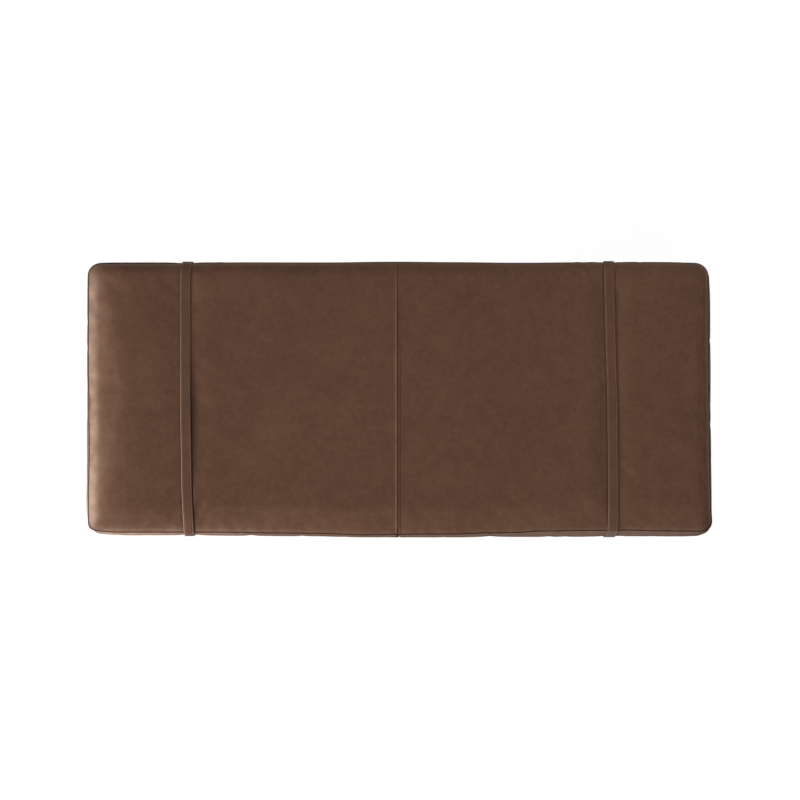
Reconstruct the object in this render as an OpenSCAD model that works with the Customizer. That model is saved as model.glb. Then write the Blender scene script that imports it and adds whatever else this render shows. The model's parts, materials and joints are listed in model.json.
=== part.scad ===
// Leather bench: a boxed seat cushion strapped to a dark wooden frame.
// Millimetres, +Z up, front along -Y, origin on the floor under the middle of the seat.

/* [Cushion] */
// Length of the seat between its end seams
cushion_l = 1350; // [1200:10:1500]
// Depth of the seat between its front and back seams
cushion_d = 590; // [520:10:640]
// Plan radius of the cushion's corners
corner_r = 28; // [20:1:40]
// Height of the side band of the cushion
boxing_h = 100; // [85:1:125]
// How far the side band swells past its seams
boxing_swell = 4.5; // [2:0.5:6]
// Rise of the top panel over its rolled edge
roll_rise = 14; // [8:1:18]
// Width of the rolled edge
roll_w = 60; // [45:1:80]
// Extra rise from the roll to the middle of the seat
crown_rise = 6; // [3:0.5:10]
// Thickness of the cover leather
leather_t = 1.5; // [1.2:0.1:2]
// Depth of the valley at the centre seam
seam_dip = 1.5; // [0.5:0.1:2.5]
// Half width of the valley at the centre seam
seam_w = 12; // [8:1:20]
// Thickness of the fibre wrap round the foam
wrap_t = 8; // [5:0.5:12]
// How far a strap presses into the cushion
strap_press = 2; // [1:0.25:2]
// Reach of that dent beside the strap
press_w = 40; // [25:1:45]

/* [Frame] */
// Height of the seat frame's top above the floor
seat_z = 330; // [300:5:360]
// How far the legs stand in from the cushion's seams
frame_inset = 12; // [8:1:20]
// Height of the rails
rail_h = 60; // [56:1:75]
// Thickness of the rails
rail_t = 22; // [18:1:26]
// How far the rails stand back from the legs' faces
rail_setback = 2; // [1:0.5:4]
// Radius of the rails' lower outer edge
rail_edge_r = 3; // [2:0.5:5]
// Width of a leg at the rails
leg_w = 56; // [50:1:62]
// Width of a leg at the floor
leg_foot_w = 30; // [30:1:40]
// Radius of a leg's upright edges
leg_edge_r = 5; // [3:0.5:7]
// Width of the flat on a leg's inner corner, measured along each face
leg_flat = 8; // [6:1:10]
// Thickness of the corner blocks
block_t = 20; // [18:1:24]
// Height of the corner blocks
block_h = 40; // [34:1:42]
// Side of the square cleats that carry the deck
cleat_w = 20; // [18:1:24]
// Thickness of the deck board
deck_t = 12; // [9:1:12]
// Thickness of the cross bearers
bearer_t = 22; // [18:1:28]
// Height of the cross bearers
bearer_h = 40; // [36:1:42]
// Distance of the outer bearers from the rails' inner faces at the ends
bearer_inset = 340; // [300:10:380]
// Radius of the deck's vent holes
vent_r = 15; // [10:1:18]

/* [Straps] */
// Width of a strap
strap_w = 22; // [18:1:26]
// Thickness of a strap
strap_t = 3; // [2:0.25:3.5]
// Distance of each strap from the seam at its end of the seat
strap_inset = 217; // [195:1:245]
// Radius of the buckle's wire
buckle_r = 2; // [1.5:0.25:2.25]
// Length of the buckle between its two bars
buckle_l = 26; // [24:1:32]
// Radius of the buckle's prong
prong_r = 1.3; // [1:0.1:1.5]
// Length of the strap's tail past the buckle
tail_l = 90; // [80:1:120]

/* [Feet] */
// Height of a levelling foot when screwed right in
foot_h = 10; // [9:0.5:14]
// Radius of the foot's nylon pad
pad_r = 13; // [10:0.5:14]
// Thickness of the foot's nylon pad
pad_t = 4; // [3:0.5:5]
// Radius of the foot's threaded stem
stem_r = 4; // [3:0.5:4]
// Length of the foot's threaded stem
stem_l = 35; // [30:1:45]
// Length of the threaded insert in the leg
insert_l = 20; // [15:1:25]

/* [Zip] */
// Distance of the zip's ends from the seams at the ends of the seat
zip_inset = 325; // [310:5:400]
// Width of the closed coil
coil_w = 5; // [4:0.5:6]
// Width of the slot between the two leather strips
zip_slot = 9; // [8.5:0.5:10]
// Length of the pull tab
pull_l = 26; // [20:1:32]

/* [Hidden] */
$fn = 32;

// Clearances
seat_gap = 0.3;
slip_gap = 0.1;
run_gap = 0.06;
cut = 1;

// Colours
leather_colour = "#5a3f30";
leather_edge_colour = "#3d2a20";
wood_colour = "#3a261b";
ply_colour = "#b08d62";
pine_colour = "#c7a97a";
steel_colour = "#8f9296";
black_colour = "#1d1d1f";
brass_colour = "#8a7443";
foam_colour = "#e6dfc6";
fibre_colour = "#f1f1ee";

// Frame places
half_l = cushion_l / 2;
half_d = cushion_d / 2;
strap_x = half_l - strap_inset;
zip_l = cushion_l - 2 * zip_inset;
frame_x = half_l - frame_inset;
frame_y = half_d - frame_inset;
rail_x = frame_x - rail_setback;
rail_y = frame_y - rail_setback;
inner_x = rail_x - rail_t;
inner_y = rail_y - rail_t;
bearer_x = inner_x - bearer_inset;
rail_z = seat_z - rail_h;
deck_z = seat_z - deck_t;
rail_in = rail_setback + rail_t;
leg_mid = leg_w / 2;

// Leg bolt, on the diagonal of a leg
bolt_r = 4;
bolt_depth = 38;
bolt_out = 14;
bolt_clear_r = bolt_r + 0.5;
washer_r = 11;
washer_t = 2;
nut_r = 7.5;
nut_t = 6.5;
flat_mid = leg_w - leg_flat / 2;
block_z = deck_z - 2 - block_h;
bolt_z = block_z + block_h / 2;
block_near = 2 * flat_mid;
block_far = block_near + block_t * sqrt(2);

// Wood screws
screw_r = 2;
head_r = 4;
head_h = 3;
block_screw_l = 38;
block_screw_off = 16;
cleat_screw_l = 35;
deck_screw_l = 26;
cleat_end = block_far - rail_in + 4;
cleat_x = frame_x - cleat_end;
bearer_screw_l = bearer_h - cleat_w + 16;
cleat_screw_n = 4;
cleat_screw_in = 45;
deck_screw_n = 4;
deck_screw_in = 22;

// Feet
leg_base = foot_h;
insert_r = stem_r + 2;
stem_top = foot_h + stem_l;
stem_room = 6;
hex_r = 8;
hex_gap = 0.3;

// Cushion heights
band_z0 = seat_z + leather_t + slip_gap;
band_z1 = seat_z + boxing_h;
edge_z = band_z1 + leather_t;

// Strap and buckle, seen along X
strap_gap = 0.3;
under_z = rail_z - strap_gap;
fold_t = 2;
loop_r = buckle_r + 0.2;
loop_out_r = loop_r + 2;
heel_z = under_z - (strap_t + fold_t) / 2;
tail_z = heel_z - loop_out_r - 0.4;
front_bar_z = under_z - strap_t - 0.5 - buckle_r;
buckle_slope = atan((heel_z - front_bar_z) / buckle_l);
buckle_reach = norm([buckle_l, heel_z - front_bar_z]);
buckle_bend = buckle_r + 1.5;
step_y0 = 4 - buckle_l;
step_y1 = -loop_out_r - 2;
prong_gap = 0.2;
prong_drop = asin((buckle_r + prong_r + prong_gap) / buckle_reach);
prong_l = buckle_l + 4;
prong_eye_r = loop_out_r - 0.4;
prong_eye_w = 2 * prong_r + 0.6;
slot_w = prong_eye_w + 2;
slot_y0 = step_y0 + 3;
slot_y1 = 4;
slot_z0 = tail_z - 3 * strap_t;
slot_h = under_z + 2 * strap_t - slot_z0;
fold_l = 36;
rivet_y = 24;
rivet_r = 2;
rivet_cap_r = 4;
rivet_cap_t = 1.2;
keeper_y = 56;
keeper_w = 9;
keeper_t = 2;
keeper_gap = 0.4;
side_bar_x = strap_w / 2 + 0.5 + buckle_bend;

// Zip places
zip_z = seat_z + boxing_h / 2;
coil_t = 2.5;
tape_t = 1.2;
tape_w = 11;
strip_in = half_d - leather_t;
coil_y1 = half_d - slip_gap;
coil_y0 = coil_y1 - coil_t;
slider_l = 12;
slider_w = zip_slot - 1;
slider_t = 1.5;
slider_y = half_d + 0.4;
slider_x = zip_l / 2 - 15;
flange_t = (slider_w - coil_w) / 2 - 0.3;
bridge_l = 7;
bridge_t = 2;
bridge_h = 3.6;
pin_r = 0.8;
pin_gap = 0.08;
pin_y = slider_y + slider_t + bridge_h - 1.9;
pull_w = 5;
pull_t = 1.2;
arm_gap = 0.2;

// Sample places across the seat, as shares of its half depth, and along it
seat_t = [-1, -0.985, -0.96, -0.92, -0.87, -0.8, -0.6, -0.3, 0, 0.3, 0.6, 0.8, 0.87, 0.92, 0.96, 0.985, 1];
core_t = [-1, -0.96, -0.87, -0.6, 0, 0.6, 0.87, 0.96, 1];
swell_steps = 6;

// A reversed list
function reverse(v) = [for (i = [len(v) - 1:-1:0]) v[i]];

// Half depth of a rounded rectangle of half length a and half depth b, at x
function half_depth(x, a, b, r) =
    let (into = max(0, abs(x) - (a - r)))
    b - r + sqrt(max(0, r * r - into * into));

// Numbers in falling order, each kept once
function falling(v) = len(v) < 2 ? v : concat(
    falling([for (a = v) if (a > v[0]) a]), [v[0]], falling([for (a = v) if (a < v[0]) a]));

// Share of a strap's dent at x: whole under the strap and fading out beside it
function dent(x) =
    let (s = min(1, max(0, (abs(abs(x) - strap_x) - strap_w / 2) / press_w)))
    pow(1 - s, 2);

// Share of the rolled edge's rise at a distance d from the seam
function roll(d) = let (s = min(1, max(0, d / roll_w))) 1 - (1 - s) * (1 - s);

// Height of the top leather at x, and at the share t of the half depth
function top_z(x, t) =
    edge_z
    + roll_rise * roll(half_l - abs(x)) * roll((1 - abs(t)) * half_d)
    + crown_rise * (1 - pow(x / half_l, 2)) * (1 - t * t)
    - seam_dip * max(0, 1 - abs(x) / seam_w) * roll((1 - abs(t)) * half_d)
    - strap_press * dent(x) * roll((1 - abs(t)) * half_d);

// Swell of the side band at height z, where it stands out by most at its middle height
function swell(z, most) = most * sin(180 * (z - band_z0) / (band_z1 - band_z0));

// Places beside and under a strap
strap_places = [for (side = [-1, 1], s = [0, 0.5, 1]) strap_x + side * (strap_w / 2 + s * press_w)];

// Places along half of a seat of half length a, from its end to its middle
function along(a, r) = falling(concat(
    [for (p = [0:22.5:90]) r * cos(p) - r + a],
    [half_l - roll_w, strap_x - 2 * press_w - strap_w, seam_w, 0],
    strap_places));
function along_both(a, r) =
    let (half = along(a, r))
    concat([for (x = half) -x], [for (i = [len(half) - 2:-1:0]) half[i]]);

// Triangles between rows of n points, row after row; round also joins each row's end to its start
function grid_faces(rows, n, start, round, inward) = [
    for (k = [0:rows - 2], i = [0:(round ? n - 1 : n - 2)])
        let (j = (i + 1) % n, a = start + k * n, b = a + n)
        each (inward
            ? [[a + i, b + j, a + j], [a + i, b + i, b + j]]
            : [[a + i, a + j, b + j], [a + i, b + j, b + i]])
];
// Triangles between two lines of points, which are given as indices
function strip_faces(p, q, inward) = [
    for (i = [0:len(p) - 2])
        each (inward
            ? [[p[i], q[i + 1], p[i + 1]], [p[i], q[i], q[i + 1]]]
            : [[p[i], p[i + 1], q[i + 1]], [p[i], q[i + 1], q[i]]])
];
// Triangles that close a convex ring of n points
function fan_cap(start, n, flip) = [
    for (i = [1:n - 2]) flip ? [start, start + i + 1, start + i] : [start, start + i, start + i + 1]
];

// A solid through closed rings of points, with flat ends
module loft(rings) {
    n = len(rings[0]);
    last = (len(rings) - 1) * n;
    polyhedron(
        [for (ring = rings) each ring],
        concat(
            grid_faces(len(rings), n, 0, true, false),
            fan_cap(0, n, true),
            fan_cap(last, n, false)),
        convexity = 6);
}

// A sheet with rows of points on its outer face and matching rows on its inner face;
// a round one is a sleeve that is open at both ends
module sheet(outer, inner, round = false) {
    rows = len(outer);
    n = len(outer[0]);
    all = rows * n;
    row = [for (i = [0:(round ? n : n - 1)]) i % n];
    column = [for (k = [0:rows - 1]) k * n];
    far = (rows - 1) * n;
    polyhedron(
        concat([for (r = outer) each r], [for (r = inner) each r]),
        concat(
            grid_faces(rows, n, 0, round, false),
            grid_faces(rows, n, all, round, true),
            strip_faces(row, [for (i = row) all + i], true),
            strip_faces([for (i = row) far + i], [for (i = row) all + far + i], false),
            round ? [] : strip_faces(column, [for (k = column) all + k], false),
            round ? [] : strip_faces(
                [for (k = column) k + n - 1], [for (k = column) all + k + n - 1], true)),
        convexity = 8);
}

// A frame of bent round wire, lying flat with one bar on the X axis and reaching along -Y
module wire_frame(half_w, length, bend, r) {
    for (y = [0, -length])
        translate([bend - half_w, y, 0])
            rotate([0, 90, 0])
                cylinder(h = 2 * (half_w - bend), r = r);
    for (x = [-half_w, half_w])
        translate([x, -bend, 0])
            rotate([90, 0, 0])
                cylinder(h = length - 2 * bend, r = r);
    for (corner = [[1, -bend, 0], [-1, -bend, 90], [-1, bend - length, 180], [1, bend - length, 270]])
        translate([corner[0] * (half_w - bend), corner[1], 0])
            rotate([0, 0, corner[2]])
                rotate_extrude(angle = 90)
                    translate([bend, 0])
                        circle(r);
}

// A round rod along +Z with a rounded tip
module rod(l, r)
    rotate_extrude()
        polygon(concat([[0, 0], [r, 0]], [for (p = [0:15:75]) [r * cos(p), l - r + r * sin(p)]], [[0, l]]));

// A box between two corners
module box(a, b) translate(a) cube(b - a);

// A flat shape with round corners
module round_rect(l, d, r) {
    square([l - 2 * r, d], center = true);
    square([l, d - 2 * r], center = true);
    for (x = [-1, 1], y = [-1, 1])
        translate([x * (l / 2 - r), y * (d / 2 - r)])
            circle(r);
}

// What is drawn at the front left corner, moved to a corner: sx is -1 left or 1 right, sy -1 front or 1 back
module at_corner(sx, sy) {
    mirror([sx > 0 ? 1 : 0, 0, 0])
        mirror([0, sy > 0 ? 1 : 0, 0])
            translate([-frame_x, -frame_y, 0])
                children();
}
module at_corners() {
    for (sx = [-1, 1], sy = [-1, 1])
        at_corner(sx, sy)
            children();
}

// Pointing along the leg's diagonal, out of the flat on its inner corner
module on_diagonal(z)
    translate([flat_mid, flat_mid, z])
        rotate([0, 90, 45])
            children();

// A countersunk wood screw whose head is flush at the origin, pointing along -Z
module screw(l, grow = 0) {
    translate([0, 0, -l])
        cylinder(h = l + (grow > 0 ? cut : 0), r = screw_r + grow);
    translate([0, 0, -head_h])
        cylinder(h = head_h, r1 = screw_r + grow, r2 = head_r + grow);
    if (grow > 0)
        cylinder(h = cut, r = head_r + grow);
}

// Place of screw i of n that are spread evenly from -reach to reach
function spread(i, n, reach) = reach * (2 * i / (n - 1) - 1);

// Places of the screws, each pointing along -Z of its own frame
module at_block_screws()
    for (side = [-1, 1])
        on_diagonal(bolt_z)
            translate([0, side * ((block_far / 2 - rail_in) * sqrt(2) - block_screw_off), block_t])
                children();
module at_cleat_screws(sy)
    for (i = [0:cleat_screw_n - 1])
        translate([spread(i, cleat_screw_n, cleat_x - cleat_screw_in), 0, deck_z - cleat_w / 2])
            translate([0, sy * (inner_y - cleat_w), 0])
            rotate([sy * 90, 0, 0])
                children();
module at_deck_screws()
    for (sy = [-1, 1], i = [0:deck_screw_n - 1])
        translate([spread(i, deck_screw_n, cleat_x - deck_screw_in), sy * (inner_y - cleat_w / 2), seat_z])
            children();
module at_bearer_screws(x)
    for (sy = [-1, 1])
        translate([x, sy * (inner_y - cleat_w / 2), deck_z - bearer_h])
            rotate([180, 0, 0])
                children();

// Wooden frame

// One leg, square at the rails and tapering on all four faces to the floor
module leg(sx, sy) color(wood_colour) at_corner(sx, sy) {
    difference() {
        hull() {
            for (z = [seat_z - cut, rail_z])
                translate([leg_mid, leg_mid, z])
                    linear_extrude(cut)
                        round_rect(leg_w, leg_w, leg_edge_r);
            translate([leg_mid, leg_mid, leg_base])
                linear_extrude(cut)
                    round_rect(leg_foot_w, leg_foot_w, leg_edge_r);
        }
        on_diagonal(seat_z - rail_h / 2)
            translate([-rail_h / 2 - cut, -leg_w / 2, 0])
                cube([rail_h + 2 * cut, leg_w, leg_w]);
        on_diagonal(bolt_z)
            translate([0, 0, -bolt_depth - 1])
                cylinder(h = bolt_depth + 1 + cut, r = bolt_r + slip_gap);
        translate([leg_mid, leg_mid, leg_base - cut])
            cylinder(h = insert_l + cut + slip_gap, r = insert_r + run_gap);
        translate([leg_mid, leg_mid, leg_base])
            cylinder(h = stem_l + stem_room, r = stem_r + 0.3);
    }
}

// Section of a long rail, seen along X, with its lower outer edge rounded
module rail_section() {
    translate([-rail_y, rail_z + rail_edge_r])
        square([rail_t, rail_h - rail_edge_r]);
    translate([-rail_y + rail_edge_r, rail_z])
        square([rail_t - rail_edge_r, rail_h]);
    translate([-rail_y + rail_edge_r, rail_z + rail_edge_r])
        circle(rail_edge_r);
}

// A rail along the front or the back
module long_rail(sy) color(wood_colour) mirror([0, sy > 0 ? 1 : 0, 0]) {
    span = 2 * (frame_x - leg_w - slip_gap);
    difference() {
        translate([-span / 2, 0, 0])
            rotate([90, 0, 90])
                linear_extrude(span)
                    rail_section();
        for (sx = [-1, 1])
            at_corner(sx, -1)
                at_block_screws()
                    screw(block_screw_l, slip_gap);
        at_cleat_screws(-1)
            screw(cleat_screw_l, slip_gap);
    }
}

// A rail across the left or the right end
module short_rail(sx) color(wood_colour) mirror([sx > 0 ? 1 : 0, 0, 0]) {
    span = 2 * (frame_y - leg_w - slip_gap);
    difference() {
        box([-rail_x, -span / 2, rail_z], [-rail_x + rail_t, span / 2, seat_z]);
        for (sy = [-1, 1])
            at_corner(-1, sy)
                at_block_screws()
                    screw(block_screw_l, slip_gap);
    }
}

// A block across an inner corner, which ties two rails and takes the leg's bolt
module block(sx, sy) color(pine_colour) at_corner(sx, sy) {
    difference() {
        translate([0, 0, block_z])
            linear_extrude(block_h)
                polygon([
                    [rail_in, block_near - rail_in], [block_near - rail_in, rail_in],
                    [block_far - rail_in, rail_in], [rail_in, block_far - rail_in]
                ]);
        on_diagonal(bolt_z)
            translate([0, 0, -cut])
                cylinder(h = block_t + 2 * cut, r = bolt_clear_r);
        at_block_screws()
            screw(block_screw_l, slip_gap);
    }
}

module leg_bolts() color(steel_colour) at_corners() on_diagonal(bolt_z)
    translate([0, 0, -bolt_depth])
        cylinder(h = bolt_depth + block_t + bolt_out, r = bolt_r);

module leg_washers() color(steel_colour) at_corners() on_diagonal(bolt_z)
    translate([0, 0, block_t])
        difference() {
            cylinder(h = washer_t, r = washer_r);
            translate([0, 0, -cut])
                cylinder(h = washer_t + 2 * cut, r = bolt_r + run_gap);
        }

module leg_nuts() color(steel_colour) at_corners() on_diagonal(bolt_z)
    translate([0, 0, block_t + washer_t])
        difference() {
            cylinder(h = nut_t, r = nut_r, $fn = 6);
            translate([0, 0, -cut])
                cylinder(h = nut_t + 2 * cut, r = bolt_r + run_gap);
        }

module block_screws() color(steel_colour) at_corners() at_block_screws()
    screw(block_screw_l);

// A cleat along the front or back rail, which carries the deck
module cleat(sy) color(pine_colour) mirror([0, sy > 0 ? 1 : 0, 0])
    difference() {
        box([-cleat_x, -inner_y, deck_z - cleat_w], [cleat_x, -inner_y + cleat_w, deck_z]);
        at_cleat_screws(-1)
            screw(cleat_screw_l, slip_gap);
        at_deck_screws()
            screw(deck_screw_l, slip_gap);
        for (x = [-bearer_x, 0, bearer_x])
            at_bearer_screws(x)
                screw(bearer_screw_l, slip_gap);
    }

module cleat_screws() color(steel_colour)
    for (sy = [-1, 1])
        at_cleat_screws(sy)
            screw(cleat_screw_l);

// A bearer under the deck, let in below both cleats
module bearer(x) color(pine_colour)
    difference() {
        box([x - bearer_t / 2, -inner_y, deck_z - bearer_h], [x + bearer_t / 2, inner_y, deck_z]);
        for (flip = [0, 1])
            mirror([0, flip, 0])
                box([x - bearer_t, -inner_y - cut, deck_z - cleat_w - slip_gap],
                    [x + bearer_t, -inner_y + cleat_w + slip_gap, deck_z + cut]);
        at_bearer_screws(x)
            screw(bearer_screw_l, slip_gap);
    }

module bearer_screws() color(steel_colour)
    for (x = [-bearer_x, 0, bearer_x])
        at_bearer_screws(x)
            screw(bearer_screw_l);

// The deck board, notched round the legs and bored for air
module deck() color(ply_colour)
    difference() {
        box([-inner_x + seat_gap, -inner_y + seat_gap, deck_z],
            [inner_x - seat_gap, inner_y - seat_gap, seat_z]);
        at_corners()
            translate([-cut, -cut, deck_z - cut])
                cube([leg_w + seat_gap + cut, leg_w + seat_gap + cut, deck_t + 2 * cut]);
        at_deck_screws()
            screw(deck_screw_l, slip_gap);
        for (x = [-1.5, -0.5, 0.5, 1.5], y = [-1, 1])
            translate([x * bearer_x, y * half_d / 3, deck_z - cut])
                cylinder(h = deck_t + 2 * cut, r = vent_r);
    }

module deck_screws() color(steel_colour) at_deck_screws()
    screw(deck_screw_l);

// Levelling feet

module foot_inserts() color(brass_colour) at_corners()
    translate([leg_mid, leg_mid, leg_base])
        difference() {
            cylinder(h = insert_l, r = insert_r);
            translate([0, 0, -cut])
                cylinder(h = insert_l + 2 * cut, r = stem_r + run_gap);
        }

// Threaded stem with the hexagon that turns it
module foot_stem(sx, sy) color(steel_colour) at_corner(sx, sy)
    translate([leg_mid, leg_mid, 0]) {
        translate([0, 0, pad_t])
            cylinder(h = stem_top - pad_t, r = stem_r);
        translate([0, 0, pad_t])
            cylinder(h = foot_h - hex_gap - pad_t, r = hex_r, $fn = 6);
    }

module foot_pad(sx, sy) color(black_colour) at_corner(sx, sy)
    translate([leg_mid, leg_mid, 0])
        cylinder(h = pad_t, r = pad_r);

// Cushion

// Cross-section of the filling at x: inset from the seams and down from the leather
function core_ring(x, inset, base, down) =
    let (w = half_depth(x, half_l - leather_t - 1, half_d - inset, corner_r))
    concat(
        [[x, -w, base], [x, w, base]],
        [for (t = reverse(core_t))
            [x, t * w, top_z(x, t * w / half_depth(x, half_l, half_d, corner_r)) - down]]);

wrap_in = leather_t + tape_t + 0.8;
wrap_down = leather_t + 0.4;
wrap_base = seat_z + leather_t + 0.3;
core_gap = 0.3;
core_in = wrap_in + wrap_t + core_gap;
core_xs = along_both(half_l - leather_t - 1, corner_r);

module foam_core() color(foam_colour)
    loft([
        for (x = core_xs)
            core_ring(x, core_in, wrap_base + wrap_t + core_gap, wrap_down + wrap_t + 2 * core_gap)
    ]);

// The fibre sheet is wrapped round the foam and open at both ends
module fibre_wrap() color(fibre_colour)
    sheet(
        [for (x = core_xs) core_ring(x, wrap_in, wrap_base, wrap_down)],
        [for (x = core_xs) core_ring(x, wrap_in + wrap_t, wrap_base + wrap_t, wrap_down + wrap_t)],
        round = true);

module bottom_panel() color(leather_colour)
    translate([0, 0, seat_z])
        linear_extrude(leather_t)
            round_rect(cushion_l, cushion_d, corner_r);

// Half of the top leather, from one end to the centre seam, down from its upper face
function top_rows(down) = [
    for (x = along(half_l, corner_r))
        let (w = half_depth(x, half_l, half_d, corner_r), at = x == 0 ? slip_gap / 2 : x)
        [for (t = seat_t) [-at, t * w, top_z(x, t) - down]]
];
module top_panel(sx) color(leather_colour) mirror([sx > 0 ? 1 : 0, 0, 0])
    sheet(top_rows(0), top_rows(leather_t));

// Most swell of a long side at x, which the straps press flat
function long_swell(x) = boxing_swell - strap_press * dent(x);

// Stations of the side band, from the middle of the front round the left end to the zip:
// each is a point, the outward direction and the most swell there
function band_stations() =
    let (x0 = half_l - corner_r, y0 = half_d - corner_r, end = zip_l / 2 + slip_gap)
    concat(
        [for (x = reverse(falling(concat([slip_gap / 2, strap_x - 2 * press_w - strap_w], strap_places))))
            [-x, -half_d, 0, -1, long_swell(x)]],
        [for (p = [0:22.5:90])
            [-x0 - corner_r * sin(p), -y0 - corner_r * cos(p), -sin(p), -cos(p), boxing_swell]],
        [for (y = [-0.5, 0, 0.5]) [-half_l, y * y0, -1, 0, boxing_swell]],
        [for (p = [0:22.5:90])
            [-x0 - corner_r * cos(p), y0 + corner_r * sin(p), -cos(p), sin(p), boxing_swell]],
        [for (x = falling(concat([end], strap_places)))
            [-x, half_d, 0, 1, long_swell(x) * min(1, (x - end) / press_w)]]);

// Half of the side band, in from its outer face
function band_rows(in) = [
    for (s = band_stations())
        [for (i = [0:swell_steps])
            let (z = band_z0 + (band_z1 - slip_gap - band_z0) * i / swell_steps, out = swell(z, s[4]) - in)
            [s[0] + s[2] * out, s[1] + s[3] * out, z]]
];
module boxing(sx) color(leather_colour) mirror([sx > 0 ? 1 : 0, 0, 0])
    sheet(band_rows(0), band_rows(leather_t));

// Zip in the back of the side band

// A leather strip beside the zip, from height a to height b
module zip_strip(a, b) color(leather_colour)
    box([-zip_l / 2, strip_in, a], [zip_l / 2, half_d, b]);

module zip_tapes() color(black_colour)
    for (flip = [0, 1])
        translate([0, 0, zip_z])
            mirror([0, 0, flip])
                box([-zip_l / 2, strip_in - slip_gap - tape_t, coil_w / 2 + slip_gap],
                    [zip_l / 2, strip_in - slip_gap, coil_w / 2 + slip_gap + tape_w]);

module zip_coil() color(black_colour)
    box([-zip_l / 2, coil_y0, zip_z - coil_w / 2], [zip_l / 2, coil_y1, zip_z + coil_w / 2]);

// The slider rides on the outside of the coil, with a bridge for the pull tab's pin
module zip_slider() color(brass_colour)
    translate([slider_x, 0, zip_z])
        difference() {
            union() {
                box([-slider_l / 2, slider_y, -slider_w / 2],
                    [slider_l / 2, slider_y + slider_t, slider_w / 2]);
                for (flip = [0, 1])
                    mirror([0, 0, flip])
                        box([-slider_l / 2, strip_in + slip_gap, slider_w / 2 - flange_t],
                            [slider_l / 2, slider_y + slider_t, slider_w / 2]);
                box([-bridge_l / 2, slider_y, -bridge_t / 2],
                    [bridge_l / 2, slider_y + slider_t + bridge_h, bridge_t / 2]);
            }
            translate([0, pin_y, -bridge_t])
                cylinder(h = 2 * bridge_t, r = pin_r + pin_gap);
        }

// The pull tab: two arms and a pin round the bridge, then a flat tab
module zip_pull() color(brass_colour)
    translate([slider_x, pin_y, zip_z]) {
        arm_x = bridge_l / 2 + 1;
        for (flip = [0, 1])
            mirror([0, 0, flip])
                box([-arm_x, -pull_t / 2, bridge_t / 2 + arm_gap], [pin_r, pull_t / 2, pull_w / 2]);
        translate([0, 0, -pull_w / 2])
            cylinder(h = pull_w, r = pin_r);
        box([-pull_l, -pull_t / 2, -pull_w / 2], [-arm_x, pull_t / 2, pull_w / 2]);
    }

// Straps

// What is drawn round x = 0, moved to the left or the right strap
module at_strap(sx) translate([sx * strap_x, 0, 0]) children();

// A flat shape in Y and Z, made w wide along X
module across(w) translate([-w / 2, 0, 0]) rotate([90, 0, 90]) linear_extrude(w) children();

// The strap's inner face in Y and Z: from the buckle to the back, over the seat and back to its tail
strap_side = concat(
    [for (p = [-90:20:10]) [rail_y - rail_edge_r + (rail_edge_r + strap_gap) * cos(p),
                            rail_z + rail_edge_r + (rail_edge_r + strap_gap) * sin(p)]],
    [[half_d + strap_gap, seat_z]],
    [for (i = [0:swell_steps])
        let (z = band_z0 + (band_z1 - slip_gap - band_z0) * i / swell_steps)
        [half_d + swell(z, long_swell(strap_x)) + strap_gap, z]],
    [[half_d + strap_gap, edge_z + strap_gap]]);
strap_top = [
    for (i = [len(seat_t) - 2:-1:1])
        [seat_t[i] * half_d, top_z(strap_x - strap_w / 2, seat_t[i]) + strap_gap]
];
strap_inner = concat(
    [[0, under_z]],
    strap_side,
    strap_top,
    [for (p = reverse(strap_side)) [-p[0], p[1]]],
    [[step_y0, under_z], [step_y1, tail_z], [tail_l, tail_z]]);

// A point moved by d to the right of the path there, so that the path keeps its thickness
function unit(v) = v / norm(v);
function right_of(v) = [v[1], -v[0]];
function shifted(path, i, d) =
    let (a = unit(path[i] - path[max(0, i - 1)] + (i == 0 ? path[1] - path[0] : [0, 0])),
         b = unit(path[min(len(path) - 1, i + 1)] - path[i]
             + (i == len(path) - 1 ? path[i] - path[i - 1] : [0, 0])),
         n = unit(right_of(a) + right_of(b)))
    path[i] + n * d / (n * right_of(a));
strap_outer = [for (i = [0:len(strap_inner) - 1]) shifted(strap_inner, i, strap_t)];

module strap(sx) color(leather_colour) at_strap(sx)
    difference() {
        union() {
            across(strap_w)
                polygon(concat(strap_inner, reverse(strap_outer)));
            across(strap_w)
                translate([0, under_z - strap_t - fold_t])
                    square([fold_l, fold_t + strap_t / 2]);
            across(strap_w)
                translate([0, heel_z])
                    circle(loop_out_r);
        }
        across(strap_w + 2 * cut)
            translate([0, heel_z])
                circle(loop_r);
        box([-slot_w / 2, slot_y0, slot_z0], [slot_w / 2, slot_y1, slot_z0 + slot_h]);
        for (y = [slot_y0, slot_y1])
            translate([0, y, slot_z0])
                cylinder(h = slot_h, r = slot_w / 2);
        translate([0, rivet_y, tail_z + slip_gap])
            cylinder(h = under_z - tail_z + cut, r = rivet_r + slip_gap);
    }

// The buckle: a wire frame whose far bar the strap is folded round
module buckle(sx) color(brass_colour) at_strap(sx)
    translate([0, 0, heel_z])
        rotate([buckle_slope, 0, 0])
            wire_frame(side_bar_x, buckle_reach, buckle_bend, buckle_r);

// The prong: an eye round the far bar and a finger through the strap's slot to the near bar
module prong(sx) color(brass_colour) at_strap(sx)
    translate([0, 0, heel_z])
        difference() {
            union() {
                across(prong_eye_w)
                    circle(prong_eye_r);
                rotate([90 + buckle_slope + prong_drop, 0, 0])
                    rod(prong_l, prong_r);
            }
            across(2 * prong_eye_w)
                circle(buckle_r + run_gap);
        }

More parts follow.
